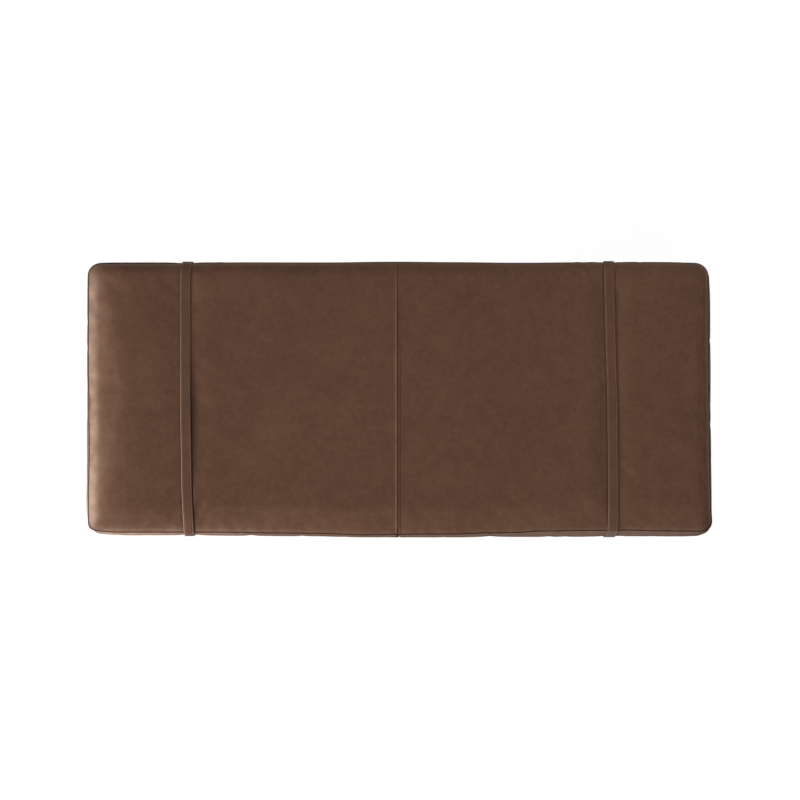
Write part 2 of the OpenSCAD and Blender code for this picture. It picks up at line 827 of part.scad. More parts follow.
// The loop that holds the tail against the strap
module keeper(sx) color(leather_edge_colour) at_strap(sx)
    translate([0, keeper_y + keeper_w, 0])
        rotate([90, 0, 0])
            linear_extrude(keeper_w)
                difference() {
                    low = tail_z - strap_t - keeper_gap;
                    high = under_z + keeper_gap;
                    wide = strap_w + 2 * keeper_gap;
                    translate([-wide / 2 - keeper_t, low - keeper_t])
                        square([wide + 2 * keeper_t, high - low + 2 * keeper_t]);
                    translate([-wide / 2, low])
                        square([wide, high - low]);
                }

module strap_rivets() color(brass_colour)
    for (sx = [-1, 1])
        at_strap(sx)
            translate([0, rivet_y, under_z - strap_t - fold_t]) {
                cylinder(h = strap_t + fold_t, r = rivet_r);
                translate([0, 0, -rivet_cap_t])
                    cylinder(h = rivet_cap_t, r = rivet_cap_r);
                translate([0, 0, strap_t + fold_t])
                    cylinder(h = rivet_cap_t, r = rivet_cap_r);
            }

leg(-1, -1);  // leg_front_left
leg(1, -1);  // leg_front_right
leg(-1, 1);  // leg_back_left
leg(1, 1);  // leg_back_right
long_rail(-1);  // rail_front
long_rail(1);  // rail_back
short_rail(-1);  // rail_left
short_rail(1);  // rail_right
block(-1, -1);  // block_front_left
block(1, -1);  // block_front_right
block(-1, 1);  // block_back_left
block(1, 1);  // block_back_right
leg_bolts();
leg_washers();
leg_nuts();
block_screws();
cleat(-1);  // cleat_front
cleat(1);  // cleat_back
cleat_screws();
bearer(-bearer_x);  // bearer_left
bearer(0);  // bearer_middle
bearer(bearer_x);  // bearer_right
bearer_screws();
deck();
deck_screws();
foot_inserts();
foot_stem(-1, -1);  // foot_stem_front_left
foot_stem(1, -1);  // foot_stem_front_right
foot_stem(-1, 1);  // foot_stem_back_left
foot_stem(1, 1);  // foot_stem_back_right
foot_pad(-1, -1);  // foot_pad_front_left
foot_pad(1, -1);  // foot_pad_front_right
foot_pad(-1, 1);  // foot_pad_back_left
foot_pad(1, 1);  // foot_pad_back_right
foam_core();
fibre_wrap();
bottom_panel();
top_panel(-1);  // top_panel_left
top_panel(1);  // top_panel_right
boxing(-1);  // boxing_left
boxing(1);  // boxing_right
zip_strip(zip_z + zip_slot / 2, band_z1 - slip_gap);  // zip_strip_upper
zip_strip(band_z0, zip_z - zip_slot / 2);  // zip_strip_lower
zip_tapes();
zip_coil();
zip_slider();
zip_pull();
strap(-1);  // strap_left
strap(1);  // strap_right
buckle(-1);  // buckle_left
buckle(1);  // buckle_right
prong(-1);  // prong_left
prong(1);  // prong_right
keeper(-1);  // keeper_left
keeper(1);  // keeper_right
strap_rivets();
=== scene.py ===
"""Looks of the leather bench: cushion cover, straps, zip, wooden frame, camera and light."""
import json
import math

import bpy
import numpy as np
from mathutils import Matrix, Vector


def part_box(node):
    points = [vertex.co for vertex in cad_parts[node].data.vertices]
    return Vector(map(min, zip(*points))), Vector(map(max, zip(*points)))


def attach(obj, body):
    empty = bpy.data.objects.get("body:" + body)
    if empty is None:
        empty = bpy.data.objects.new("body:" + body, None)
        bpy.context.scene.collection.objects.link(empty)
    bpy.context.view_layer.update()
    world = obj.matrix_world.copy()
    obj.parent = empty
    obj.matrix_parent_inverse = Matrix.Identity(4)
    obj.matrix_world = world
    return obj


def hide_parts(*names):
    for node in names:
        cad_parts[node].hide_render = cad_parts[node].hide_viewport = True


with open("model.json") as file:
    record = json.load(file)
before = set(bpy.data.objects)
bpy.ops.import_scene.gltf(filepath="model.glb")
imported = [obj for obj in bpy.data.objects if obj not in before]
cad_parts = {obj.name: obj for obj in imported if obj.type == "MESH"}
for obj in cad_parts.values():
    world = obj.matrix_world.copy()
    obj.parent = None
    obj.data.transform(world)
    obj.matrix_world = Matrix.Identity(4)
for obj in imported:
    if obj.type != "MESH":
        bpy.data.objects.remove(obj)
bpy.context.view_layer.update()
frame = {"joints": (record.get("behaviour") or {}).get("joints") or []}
MM = 0.001

# Sizes read from the frame
UNDER_LOW, UNDER_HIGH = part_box("bottom_panel")
HALF_L, HALF_D, SEAT_Z = UNDER_HIGH.x, UNDER_HIGH.y, UNDER_LOW.z
LEATHER_T = UNDER_HIGH.z - UNDER_LOW.z
TOP_LOW, TOP_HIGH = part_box("top_panel_left")
EDGE_Z = TOP_LOW.z + LEATHER_T
BAND_LOW, BAND_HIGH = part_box("boxing_left")
SWELL = BAND_HIGH.y - HALF_D
STRAP_LOW, STRAP_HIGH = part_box("strap_right")
STRAP_X = (STRAP_LOW.x + STRAP_HIGH.x) / 2
STRAP_W = STRAP_HIGH.x - STRAP_LOW.x
ZIP_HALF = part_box("zip_tapes")[1].x
ZIP_LOW, ZIP_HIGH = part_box("zip_coil")
ZIP_Z = (ZIP_LOW.z + ZIP_HIGH.z) / 2
RAIL_LOW, RAIL_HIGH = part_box("rail_back")
HEEL_Z = next(j["pos_m"][2] for j in frame["joints"] if j["name"] == "prong_right_hinge")
KEEPER_LOW, KEEPER_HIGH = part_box("keeper_right")
DECK_LOW, DECK_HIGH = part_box("deck")

# Sizes that the solids have too
CORNER_R = 28 * MM
ROLL_RISE = 14 * MM
CROWN_RISE = TOP_HIGH.z - EDGE_Z - ROLL_RISE
RAIL_EDGE_R = 3 * MM
GAP = 0.3 * MM

# How the filling rises from each seam: the width of the rise and how steep it starts
LEFT_ROLL = (110 * MM, 3)
RIGHT_ROLL = (15 * MM, 3)
FRONT_ROLL = (60 * MM, 2)
BACK_ROLL = (34 * MM, 3.5)

# How deep the straps press into the top and the sides, in a wide dent and a narrow bed
LEFT_PRESS = 0.3 * MM
RIGHT_PRESS = 0.8 * MM
SIDE_PRESS = 1.2 * MM
PRESS_W = 40 * MM
LEFT_BED = 0.4 * MM
RIGHT_BED = 0.8 * MM
BED_W = 4.5 * MM

# Uneven surfaces, each of a few waves: depth, length and seed
WAVES = 6
TOP_GATHERS = (0.35 * MM, 26 * MM, 3)
TOP_WAVES = (0.5 * MM, 190 * MM, 5)
WAVES_IN = 60 * MM
BAND_PUCKERS = (0.35 * MM, 22 * MM, 8)
BAND_WAVES = (0.4 * MM, 170 * MM, 11)
ZIP_WAVES = (0.15 * MM, 24 * MM, 21)
TAPE_WAVES = (0.12 * MM, 60 * MM, 31)

# The straps: how they are cut, folded, punched and stitched; each of the holes is its place along Y and
# the height that it is cut up to
STRAP_T = 3 * MM
FOLD_T = 2 * MM
FOLD_L = 36 * MM
FOLD_END = 7 * MM
LOOP_R = 4.3 * MM
LOOP_TURN = (-42, -318)
STRAP_SOFT = 1.0 * MM
TAIL_L = 90 * MM
TAIL_TIP = 12 * MM
TAIL_STEP = (-22 * MM, -6.2 * MM)
SLOT_W = 5.2 * MM
SLOT_Y = (-19 * MM, 4 * MM)
SLOT_TOP = HEEL_Z + 9 * MM
CUT_BASE = HEEL_Z - 14 * MM
HOLE_R = 1.8 * MM
HOLES = ((-42 * MM, RAIL_LOW.z + 9 * MM), (45 * MM, HEEL_Z - 3.5 * MM), (75 * MM, HEEL_Z - 3.5 * MM))
STRAP_ROW = 1.5 * MM
STITCH_PITCH = 5 * MM
STITCH_L = 3.7 * MM
STITCH_R = 0.42 * MM
STITCH_IN = 2.6 * MM
STITCH_SIDES = 6
STITCH_SHAPE = ((-0.5, 0.2), (-0.4, 0.75), (-0.2, 1), (0.2, 1), (0.4, 0.75), (0.5, 0.2))
GROOVE_AT = 8.3 * MM
GROOVE_W = 0.6 * MM
RAW_EDGE = (9.9 * MM, 10.5 * MM)
KEEPER_HALF_T = 1 * MM
KEEPER_BEND_R = 1.8 * MM
KEEPER_EDGE_R = 0.5 * MM

# Half a strap's section from its middle: millimetres across, and share of its thickness
STRAP_SECTION = ((0, 1), (5, 1), (7.1, 1.02), (7.8, 0.97), (8.3, 0.84), (8.8, 0.97), (9.4, 1.02),
                 (10.1, 1), (10.5, 0.93), (10.85, 0.75), (11, 0.4), (10.85, 0.08), (10.3, 0))

# How the leather lies at the seams: its rounded edges, how far it is turned in and how far down
LIP_R = 2.4 * MM
FOLD_R = 1.2 * MM
TUCK = 5 * MM
RIM_TURN = ((0.25 * TUCK, 0.35 * MM), (TUCK, 0.9 * MM))
MIDDLE_TURN = (1.5 * MM, 3.5 * MM)
BAND_TURN = 0.6 * MM
UNDER_R = 0.8 * MM
BAND_TOP = EDGE_Z - 3.2 * MM
BAND_BASE = SEAT_Z + 1.6 * MM
ZIP_SLOT = 4.5 * MM

# The centre seam: half its gap, the ridge on its left, the line of stitches on its right, and the radius
# of its left and right edges
SEAM_HALF = 0.3 * MM
RIDGE_H, RIDGE_AT, RIDGE_W = 0.65 * MM, 2.1 * MM, 1.9 * MM
LINE_DEEP, LINE_AT, LINE_W = 0.25 * MM, 6.3 * MM, 1.2 * MM
SEAM_R = (1.4 * MM, 1.0 * MM)

# The filling: its inset, its gaps to the leather below and above it, the radius of its lower and upper
# edges, and the thickness of the fibre
FIBRE_PLACE = (5 * MM, GAP, 2 * MM)
FOAM_PLACE = (13 * MM, 8 * MM, 10 * MM)
FILL_R = (5 * MM, 9 * MM)
FIBRE_T = 6 * MM
TAPE_T = 0.7 * MM

# The simulated leather: its coarse grids, how far from its seams and the straps it is held, and then its
# slack, the pressure in the cushion and its deepest fold
TOP_GRID = (164, 73)
BAND_GRID = (230, 13)
TOP_HELD = 3 * MM
BAND_HELD = 2 * MM
STRAP_HELD = 8 * MM
CLOTH_STEPS = 18
TOP_CLOTH = (0.0006, 0.3, 1.2 * MM)
BAND_CLOTH = (0.002, 2.2, 2.2 * MM)

# How far the seams of the real cushion stand out past straight ones, in mm, at shares of its half length
# from the left, or of its half depth from the front
FRONT_SEAM = ((-1, -3.5), (-0.97, -5.5), (-0.9, -3), (-0.6, -3), (-0.4, -1), (-0.27, 0), (-0.1, 3),
              (0.02, 1.7), (0.17, 1.3), (0.3, -1.4), (0.36, -1.8), (0.46, -5), (0.62, -6.6),
              (0.73, -7.3), (0.82, -5.6), (0.96, -4.8))
BACK_SEAM = ((-1, -1.8), (-0.92, -1), (-0.74, -0.9), (-0.5, 0.6), (-0.25, 0.3), (0, 1.9), (0.18, 0.9),
             (0.38, -0.4), (0.6, 0.7), (0.86, 0.6), (0.93, 0), (1, -1.8))
LEFT_SEAM = ((-1, 3.5), (-0.9, -1.7), (-0.75, -0.9), (-0.44, -2.5), (-0.1, -1.4), (0.35, 0.9),
             (0.75, 1.1), (0.9, 1.1), (1, 4))
RIGHT_SEAM = ((-1, 4.2), (-0.8, 0), (-0.5, -1.7), (-0.2, -2.1), (0.15, -2.4), (0.44, -3), (0.7, -2.5),
              (0.85, -2.5), (1, -1.8))
CENTRE_SEAM = ((-1, -3), (1, -3.4))

# The same for the lower seam at the front, and how far the side band swells out at the front
FRONT_BASE = ((-1, -3), (-0.966, -5.4), (-0.92, -3.5), (-0.86, -3.1), (-0.68, -3.8), (-0.5, -3.4),
              (-0.32, -3), (-0.09, -1), (0.175, -0.4), (0.3, -1), (0.58, -0.5), (0.81, -1.6),
              (0.92, -0.4), (0.96, -1), (1, 0.4))
FRONT_SWELL = ((-1, -1), (-0.966, -2.6), (-0.86, 0.2), (-0.68, 0.4), (-0.5, 1.3), (-0.32, 2.2),
               (-0.09, 3.4), (0.175, 3.9), (0.3, 2.8), (0.58, 2.8), (0.81, 1.7), (0.92, 1.9),
               (0.96, 1.1), (1, 4.8))

# How far the straps stray to the right of their straight courses, at shares of the half depth
LEFT_COURSE = ((-1, 3.4), (-0.97, 2.4), (-0.68, -2), (0, -6), (0.94, -7), (1, -2))
RIGHT_COURSE = ((-1, 4), (-0.94, 6), (-0.68, 6), (0, 4.8), (0.35, 2), (0.75, -0.6), (1, -1.2))

# Layers of the deck board
PLIES = 7

# The camera, and how far the floor lies below the feet
PHOTO_PX = 800
PX_M = 2.173 * MM
CAMERA_FAR = 10.0
CAMERA_TILT = math.radians(4.5)
CAMERA_AIM = Vector((2 * MM, -4.4 * MM, EDGE_Z))
SENSOR_MM = 36
FLOOR_DROP = 0.5 * MM
FLOOR_HALF = 8.0

# The lamps: place, target, size, power and whether they show in glossy surfaces
LAMPS = {"far_light": ((-9.0, -1.5, 1.8), (0, 0, 0.4), 2.4, 2300, True),
         "side_light": ((-2.6, -2.0, 1.0), (0, 0, 0.4), 1.2, 180, True),
         "back_light": ((1.6, 2.0, 2.2), (0.1, 0, 0.4), 1.6, 52, False),
         "front_light": ((1.0, -2.2, 3.0), (0.1, 0, 0.4), 1.6, 34, False)}

# How bright the background and the floor are by themselves, for other rays and for those that show them
SKY_GLOW = (0.40, 1.0)
FLOOR_GLOW = (0.0, 0.92)


def smooth(a, b, v):
    """0 up to a, 1 from b, and a smooth rise between them."""
    s = np.clip((v - a) / (b - a), 0, 1)
    return s * s * (3 - 2 * s)


def bell(v, width, power=2):
    """1 at 0, and a smooth fall on both sides of it."""
    return np.exp(-((v / width) ** power))


def lattice(a, b):
    """Two grids, the first with a down its rows and the second with b along them."""
    return np.meshgrid(a, b, indexing="ij")


def waves(p, q, depth, length, seed):
    """An uneven surface over p and q, of about that depth, from waves of about that length."""
    rng = np.random.default_rng(seed)
    total = 0
    for _ in range(WAVES):
        turn, phase = rng.uniform(0, 2 * math.pi, 2)
        k = 2 * math.pi / (length * rng.uniform(0.7, 1.5))
        total = total + np.sin(k * (p * math.cos(turn) + q * math.sin(turn)) + phase)
    return depth * total / math.sqrt(2 * WAVES)


# Shape of the cushion


def half_depth(x):
    """Half depth of the seat at x, with its round corners."""
    into = np.maximum(0, np.abs(x) - (HALF_L - CORNER_R))
    return HALF_D - CORNER_R + np.sqrt(np.maximum(0, CORNER_R**2 - into**2))


def seam_distance(x, y):
    """Distance from the seam round the seat, inwards."""
    qx, qy = np.abs(x) - (HALF_L - CORNER_R), np.abs(y) - (HALF_D - CORNER_R)
    outside = np.hypot(np.maximum(qx, 0), np.maximum(qy, 0))
    return CORNER_R - outside - np.minimum(np.maximum(qx, qy), 0)


def roll(d, width, power):
    """Rise from 0 at the seam to 1 at that width."""
    return 1 - (1 - np.clip(d / width, 0, 1)) ** power


def rolls(x, t):
    """Shares of the full height at a point, from the front and back rolls and from the end rolls."""
    d, end = (1 - np.abs(t)) * HALF_D, HALF_L - np.abs(x)
    across = np.where(t < 0, roll(d, *FRONT_ROLL), roll(d, *BACK_ROLL))
    return across, np.where(x < 0, roll(end, *LEFT_ROLL), roll(end, *RIGHT_ROLL))


def strap_course(side, t):
    """How far the strap on a side strays to the right at the share t of the half depth."""
    return np.where(np.asarray(side) < 0, course(LEFT_COURSE, t), course(RIGHT_COURSE, t))


def dent(x, t):
    """Share of a strap's dent at x and at the share t of the half depth."""
    return (1 - np.clip(beside_strap(x, t) / PRESS_W, 0, 1)) ** 2


def from_strap(x, t):
    """How far x lies right of the middle of the strap on that side."""
    return x - np.sign(x) * STRAP_X - strap_course(x, t)


def beside_strap(x, t):
    """Distance from the edge of the strap on that side, below 0 under it and at x = 0 itself."""
    return np.abs(from_strap(x, t)) - STRAP_W / 2


def lip(d, r=LIP_R):
    """Drop of a rounded edge of radius r at a distance d from it."""
    s = np.clip(d / r, 0, 1)
    return r * (1 - np.sqrt(1 - (1 - s) ** 2))


def top_height(x, t):
    """Height of the top leather at x and at the share t of the half depth, without seams and folds."""
    side, end = rolls(x, t)
    rise = ROLL_RISE * end * side
    crown = CROWN_RISE * (1 - (x / HALF_L) ** 2) * (1 - t * t)
    bed = np.where(x < 0, LEFT_BED, RIGHT_BED) * smooth(BED_W, 0, beside_strap(x, t))
    return EDGE_Z + rise + crown - (np.where(x < 0, LEFT_PRESS, RIGHT_PRESS) * dent(x, t) + bed) * side


def through(places, share):
    """A smooth line through (share, millimetres) places, in metres."""
    at, values = np.array(places).T
    i = np.clip(np.searchsorted(at, share) - 1, 0, len(at) - 2)
    rise = smooth(at[i], at[i + 1], share)
    return (values[i] + (values[i + 1] - values[i]) * rise) * MM


def course(places, share):
    """The same in straight pieces with soft corners."""
    at, values = np.array(places).T
    return sum(np.interp(share + shift, at, values) for shift in np.linspace(-0.04, 0.04, 7)) / 7 * MM


def settle(x, y, z):
    """Where a point of a perfectly straight cushion lies on the real one, whose seams wander."""
    level = (z - BAND_BASE) / (BAND_TOP - BAND_BASE)
    high = smooth(0.35, 1, level)
    low = (1 - smooth(0, 0.65, level)) * smooth(-0.2, -0.02, level)
    along, over = x / HALF_L, y / HALF_D
    front, back = smooth(0.3, 1, -over), smooth(0.3, 1, over)
    left, right = smooth(0.5, 1, -along), smooth(0.5, 1, along)
    across = back * high * through(BACK_SEAM, along)
    across = across - front * (high * through(FRONT_SEAM, along) + low * through(FRONT_BASE, along))
    middle = bell(along, 0.12) * through(CENTRE_SEAM, over)
    sideways = high * (right * through(RIGHT_SEAM, over) - left * through(LEFT_SEAM, over) + middle)
    return x + sideways, y + across, z


def settled(points):
    """A list or grid of points, each where it lies on the real cushion."""
    return np.stack(settle(*np.moveaxis(points, -1, 0)), -1)


# Meshes


def grid_faces(rows, cols, start=0, close_rows=False, close_cols=False):
    """Quads of a grid of rows x cols points, numbered row by row from start."""
    r = np.arange(rows if close_rows else rows - 1)
    c = np.arange(cols if close_cols else cols - 1)
    r, c = (a.ravel() for a in lattice(r, c))
    r2, c2 = (r + 1) % rows, (c + 1) % cols
    return np.stack([r * cols + c, r * cols + c2, r2 * cols + c2, r2 * cols + c], 1) + start


def joined(grids, turns, **closed):
    """Points and faces of several grids as one mesh; a turn of -1 turns the faces of a grid over."""
    points, faces, start = [], [], 0
    for grid, turn in zip(grids, turns):
        faces.append(grid_faces(*grid.shape[:2], start, **closed)[:, ::turn])
        points.append(grid.reshape(-1, 3))
        start += len(points[-1])
    return np.concatenate(points), np.concatenate(faces)


def end_caps(rows, cols):
    """Faces over the first and the last row of a closed grid, between the mirrored halves of the row."""
    faces = []
    for start, turn in ((0, -1), ((rows - 1) * cols, 1)):
        for i in range((cols - 1) // 2):
            a, b = start + i, start + cols - 1 - i
            faces.append(sorted({a, a + 1, b - 1, b})[::turn])
    return faces


def with_edges(grid, before, after):
    """A grid with one more point at both ends of each row, that far from its first and last one."""
    return np.concatenate([grid[:, :1] + before[:, None], grid, grid[:, -1:] + after[:, None]], 1)


def make_mesh(name, points, faces, material, flip=False):
    """A smooth mesh object of a list or a grid of points."""
    mesh = bpy.data.meshes.new(name)
    faces = [list(f)[::-1] if flip else list(f) for f in faces]
    mesh.from_pydata(np.reshape(points, (-1, 3)).tolist(), [], faces)
    mesh.materials.append(material)
    mesh.polygons.foreach_set("use_smooth", [True] * len(mesh.polygons))
    mesh.update()
    obj = bpy.data.objects.new(name, mesh)
    bpy.context.scene.collection.objects.link(obj)
    return obj


def make_sheet(name, grid, material, flip=False, **closed):
    """The same, of a grid of points (rows, columns, 3) with quads between them."""
    return make_mesh(name, grid, grid_faces(*grid.shape[:2], **closed), material, flip)


def add_values(obj, name, values):
    """A value per point, for the material."""
    attribute = obj.data.attributes.new(name, "FLOAT", "POINT")
    attribute.data.foreach_set("value", np.asarray(values, np.float32).ravel())


def thicken(obj, thickness):
    """Gives a sheet its thickness, inwards from its outer face."""
    solid = obj.modifiers.new("thickness", "SOLIDIFY")
    solid.thickness, solid.offset = thickness, -1


def place(obj, slot, *replaced):
    """Puts a finished piece on the bench, in place of CAD nodes."""
    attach(obj, "root")
    if replaced:
        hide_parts(*replaced)


def upholster(obj, node, slot="cover_leather", **values):
    """Gives a sheet of leather its values for the material, its thickness and its place."""
    for name, value in values.items():
        add_values(obj, name, value)
    thicken(obj, LEATHER_T)
    place(obj, slot, node)


def steps(length, fine, coarse, growth=1.25):
    """Places from 0 to length, close together at 0 and at most coarse apart."""
    at, step, places = 0.0, fine, [0.0]
    while at + step < length - step / 2:
        at += step
        places.append(at)
        step = min(coarse, step * growth)
    return np.array(places + [length])


# Leather under tension: coarse sheets are simulated as cloth, and the fine ones take their folds


def cloth_folds(grid, held, slack, pressure, most, flip=False):
    """How far the points of a grid move when its sheet is blown up, held at some points."""
    obj = make_sheet("folds", grid, bpy.data.materials.new("folds"), flip)
    group = obj.vertex_groups.new(name="held")
    group.add(np.flatnonzero(held).tolist(), 1.0, "REPLACE")
    cloth = obj.modifiers.new("cloth", "CLOTH")
    leather = cloth.settings
    leather.vertex_group_mass = group.name
    leather.quality, leather.mass, leather.time_scale = 6, 0.4, 1.0
    leather.tension_stiffness = leather.compression_stiffness = 60
    leather.shear_stiffness, leather.bending_stiffness = 30, 3
    leather.use_pressure, leather.uniform_pressure_force = True, pressure
    leather.shrink_min = -slack
    leather.effector_weights.gravity = 0
    cloth.collision_settings.use_collision = False
    scene = bpy.context.scene
    for step in range(1, CLOTH_STEPS + 1):
        scene.frame_set(step)
    seen = obj.evaluated_get(bpy.context.evaluated_depsgraph_get())
    moved = np.empty(grid.size)
    seen.data.vertices.foreach_get("co", moved)
    bpy.data.objects.remove(obj)
    scene.frame_set(1)
    move = moved.reshape(grid.shape) - grid
    size = np.linalg.norm(move, axis=-1, keepdims=True)
    return move * (most * np.tanh(size / most) / np.maximum(size, 1e-9))


def curve_weights(f):
    """Weights of four neighbours for a smooth curve, at the share f between the middle two."""
    return ((-f + 2 * f**2 - f**3) / 2, (2 - 5 * f**2 + 3 * f**3) / 2,
            (f + 4 * f**2 - 3 * f**3) / 2, (f**3 - f**2) / 2)


def smooth_between(values, row, col):
    """Values of a coarse grid at fractional rows and columns."""
    last_row, last_col = values.shape[0] - 1, values.shape[1] - 1
    row, col = np.clip(row, 0, last_row), np.clip(col, 0, last_col)
    r0, c0 = np.minimum(row.astype(int), last_row - 1), np.minimum(col.astype(int), last_col - 1)
    total = 0
    for a, wa in enumerate(curve_weights(row - r0)):
        r = np.clip(r0 + a - 1, 0, last_row)
        for b, wb in enumerate(curve_weights(col - c0)):
            c = np.clip(c0 + b - 1, 0, last_col)
            total = total + (wa * wb)[..., None] * values[r, c]
    return total


# Materials


def add_node(tree, kind, inputs=(), **settings):
    """A shader node with its settings; an input is a value or another node's output."""
    node = tree.nodes.new("ShaderNode" + kind)
    for key, value in settings.items():
        setattr(node, key, value)
    for key, value in dict(inputs).items():
        if isinstance(value, bpy.types.NodeSocket):
            tree.links.new(value, node.inputs[key])
        else:
            node.inputs[key].default_value = value
    return node


class Finish:
    """A node material around one Principled shader."""

    def __init__(self, name, **sockets):
        self.material = bpy.data.materials.new(name)
        self.material.use_nodes = True
        self.tree = self.material.node_tree
        self.shader = self.tree.nodes["Principled BSDF"]
        for socket, value in sockets.items():
            self.shader.inputs[socket.replace("_", " ")].default_value = value
        self.place = self.add("TexCoord").outputs["Object"]

    def add(self, kind, inputs=(), **settings):
        return add_node(self.tree, kind, inputs, **settings)

    def scaled(self, scale=(1, 1, 1), turn=(0, 0, 0)):
        """The place on the object, stretched and turned."""
        return self.add("Mapping", {"Vector": self.place, "Scale": scale, "Rotation": turn}).outputs[0]

    def noise(self, scale, detail=2.0, roughness=0.5, distortion=0.0, at=None):
        values = {"Scale": scale, "Detail": detail, "Roughness": roughness, "Distortion": distortion}
        return self.add("TexNoise", {"Vector": at or self.place, **values}).outputs["Fac"]

    def cells(self, scale):
        return self.add("TexVoronoi", {"Vector": self.place, "Scale": scale}).outputs["Distance"]

    def math(self, operation, a, b=0.0):
        return self.add("Math", {0: a, 1: b}, operation=operation).outputs[0]

    def sum(self, *parts):
        """The sum of values, each times its weight."""
        total = 0.0
        for value, weight in parts:
            total = self.add("Math", {0: value, 1: weight, 2: total}, operation="MULTIPLY_ADD").outputs[0]
        return total

    def between(self, value, low, high, to_low=0.0, to_high=1.0):
        """value from low to high, mapped to to_low to to_high and held there."""
        inputs = {"Value": value, "From Min": low, "From Max": high, "To Min": to_low, "To Max": to_high}
        return self.add("MapRange", inputs).outputs[0]

    def follow(self, noise, low=0.0, high=1.0):
        """From low to high over the middle of a noise."""
        return self.between(noise, 0.3, 0.7, low, high)

    def mix(self, share, a, b):
        a, b = (c if isinstance(c, bpy.types.NodeSocket) else (*c, 1) for c in (a, b))
        return self.add("Mix", {0: share, 6: a, 7: b}, data_type="RGBA").outputs[2]

    def attribute(self, name):
        return self.add("Attribute", attribute_name=name).outputs["Fac"]

    def sheer(self, most):
        """A specular level that fades where the surface is seen from the side, as on waxed leather."""
        self.shader.inputs["Specular IOR Level"].default_value = most
        facing = self.add("LayerWeight", {"Blend": 0.5}).outputs["Facing"]
        return self.between(facing, 0.5, 0.9, most, 0.0)

    def bumps(self, *layers):
        """Each layer is a height and its depth in metres."""
        normal = None
        for height, depth in layers:
            inputs = {"Height": height, "Distance": depth, "Strength": 1.0}
            if normal:
                inputs["Normal"] = normal
            normal = self.add("Bump", inputs).outputs[0]
        self.tree.links.new(normal, self.shader.inputs["Normal"])

    def to(self, **sockets):
        """Links values to the shader's sockets, and gives the material."""
        for socket, value in sockets.items():
            self.tree.links.new(value, self.shader.inputs[socket.replace("_", " ")])
        return self.material


def cover_leather():
    f = Finish("cover_leather", IOR=1.45)
    patches = f.noise(34, 4, 0.6, 0.4)
    tone = f.sum((f.noise(7, 3, 0.55, 0.6), 0.25), (patches, 0.35), (f.noise(105, 3, 0.6), 0.40))
    colour = f.mix(f.between(tone, 0.40, 0.60), (0.0512, 0.0230, 0.0119), (0.0658, 0.0317, 0.0175))
    colour = f.mix(f.between(f.noise(420, 3, 0.6), 0.35, 0.7, 0, 0.16), colour, (0.038, 0.017, 0.010))
    colour = f.mix(f.between(f.noise(75, 3, 0.6), 0.62, 0.74, 0, 0.45), colour, (0.036, 0.019, 0.012))
    # A paler tan: partly wear, and partly painted highlight on the rolls and the seam ridge that the lamps
    # from the left light.
    worn = f.math("MULTIPLY", f.attribute("worn"), f.follow(patches, 0.5, 1.0))
    # Painted shade: where this value is 1 the leather turns near-black and loses its gloss, standing in
    # for shade in seams and grooves and for shadow beside the straps.
    crease = f.attribute("crease")
    colour = f.mix(crease, f.mix(worn, colour, (0.19, 0.123, 0.088)), (0.014, 0.007, 0.005))
    f.bumps((f.noise(60), 0.25 * MM), (f.cells(620), 0.10 * MM), (f.noise(1500, 3), 0.03 * MM))
    gloss = f.math("MULTIPLY", f.sheer(0.17), f.math("SUBTRACT", 1.0, crease))
    return f.to(Base_Color=colour, Roughness=f.follow(patches, 0.44, 0.56), Specular_IOR_Level=gloss)


LEATHER = cover_leather()


def strap_leather():
    f = Finish("strap_leather", IOR=1.45)
    tone = f.noise(28, 4, 0.6)
    colour = f.mix(f.follow(tone), (0.0470, 0.0206, 0.0109), (0.0630, 0.0290, 0.0162))
    colour = f.mix(f.between(f.noise(300, 3, 0.6), 0.35, 0.7, 0, 0.2), colour, (0.040, 0.018, 0.011))
    # Darker with painted shade: in the stitch grooves, on the left raw edges and where the strap turns
    # down at the back.
    colour = f.mix(f.attribute("crease"), colour, (0.030, 0.015, 0.010))
    # Paler tan on the raw edges: partly their own colour, partly painted highlight where the lamps from
    # the left catch them.
    colour = f.mix(f.math("MULTIPLY", f.attribute("edge"), 0.8), colour, (0.150, 0.088, 0.054))
    f.bumps((f.noise(90), 0.15 * MM), (f.cells(800), 0.06 * MM))
    return f.to(Base_Color=colour, Roughness=f.follow(tone, 0.42, 0.55), Specular_IOR_Level=f.sheer(0.2))


def under_leather_finish():
    f = Finish("under_leather", Specular_IOR_Level=0.25, IOR=1.45)
    tone = f.noise(16, 4, 0.6)
    f.bumps((f.cells(500), 0.12 * MM), (f.noise(1200), 0.04 * MM))
    return f.to(Base_Color=f.mix(f.follow(tone), (0.038, 0.020, 0.013), (0.055, 0.030, 0.020)),
                Roughness=f.follow(tone, 0.6, 0.75))


def thread():
    f = Finish("thread", Specular_IOR_Level=0.3, Roughness=0.6)
    twist = f.add("TexWave", {"Vector": f.scaled(turn=(0.5, 0.6, 0.7)), "Scale": 520.0, "Distortion": 1.5})
    f.bumps((twist.outputs["Fac"], 0.08 * MM))
    return f.to(Base_Color=f.mix(f.follow(f.noise(180)), (0.105, 0.062, 0.040), (0.160, 0.098, 0.066)))


def fibre():
    f = Finish("fibre", Specular_IOR_Level=0.1, Sheen_Weight=0.3, Roughness=0.9)
    f.bumps((f.noise(90, 5, 0.7), 1.0 * MM), (f.noise(600, 3, 0.7), 0.2 * MM))
    return f.to(Base_Color=f.mix(f.noise(60, 4), (0.82, 0.82, 0.80), (0.93, 0.93, 0.91)))


def foam():
    f = Finish("foam", Specular_IOR_Level=0.1, Roughness=0.95)
    pores = f.cells(900)
    f.bumps((pores, 0.5 * MM))
    return f.to(Base_Color=f.mix(pores, (0.70, 0.62, 0.42), (0.84, 0.78, 0.60)))


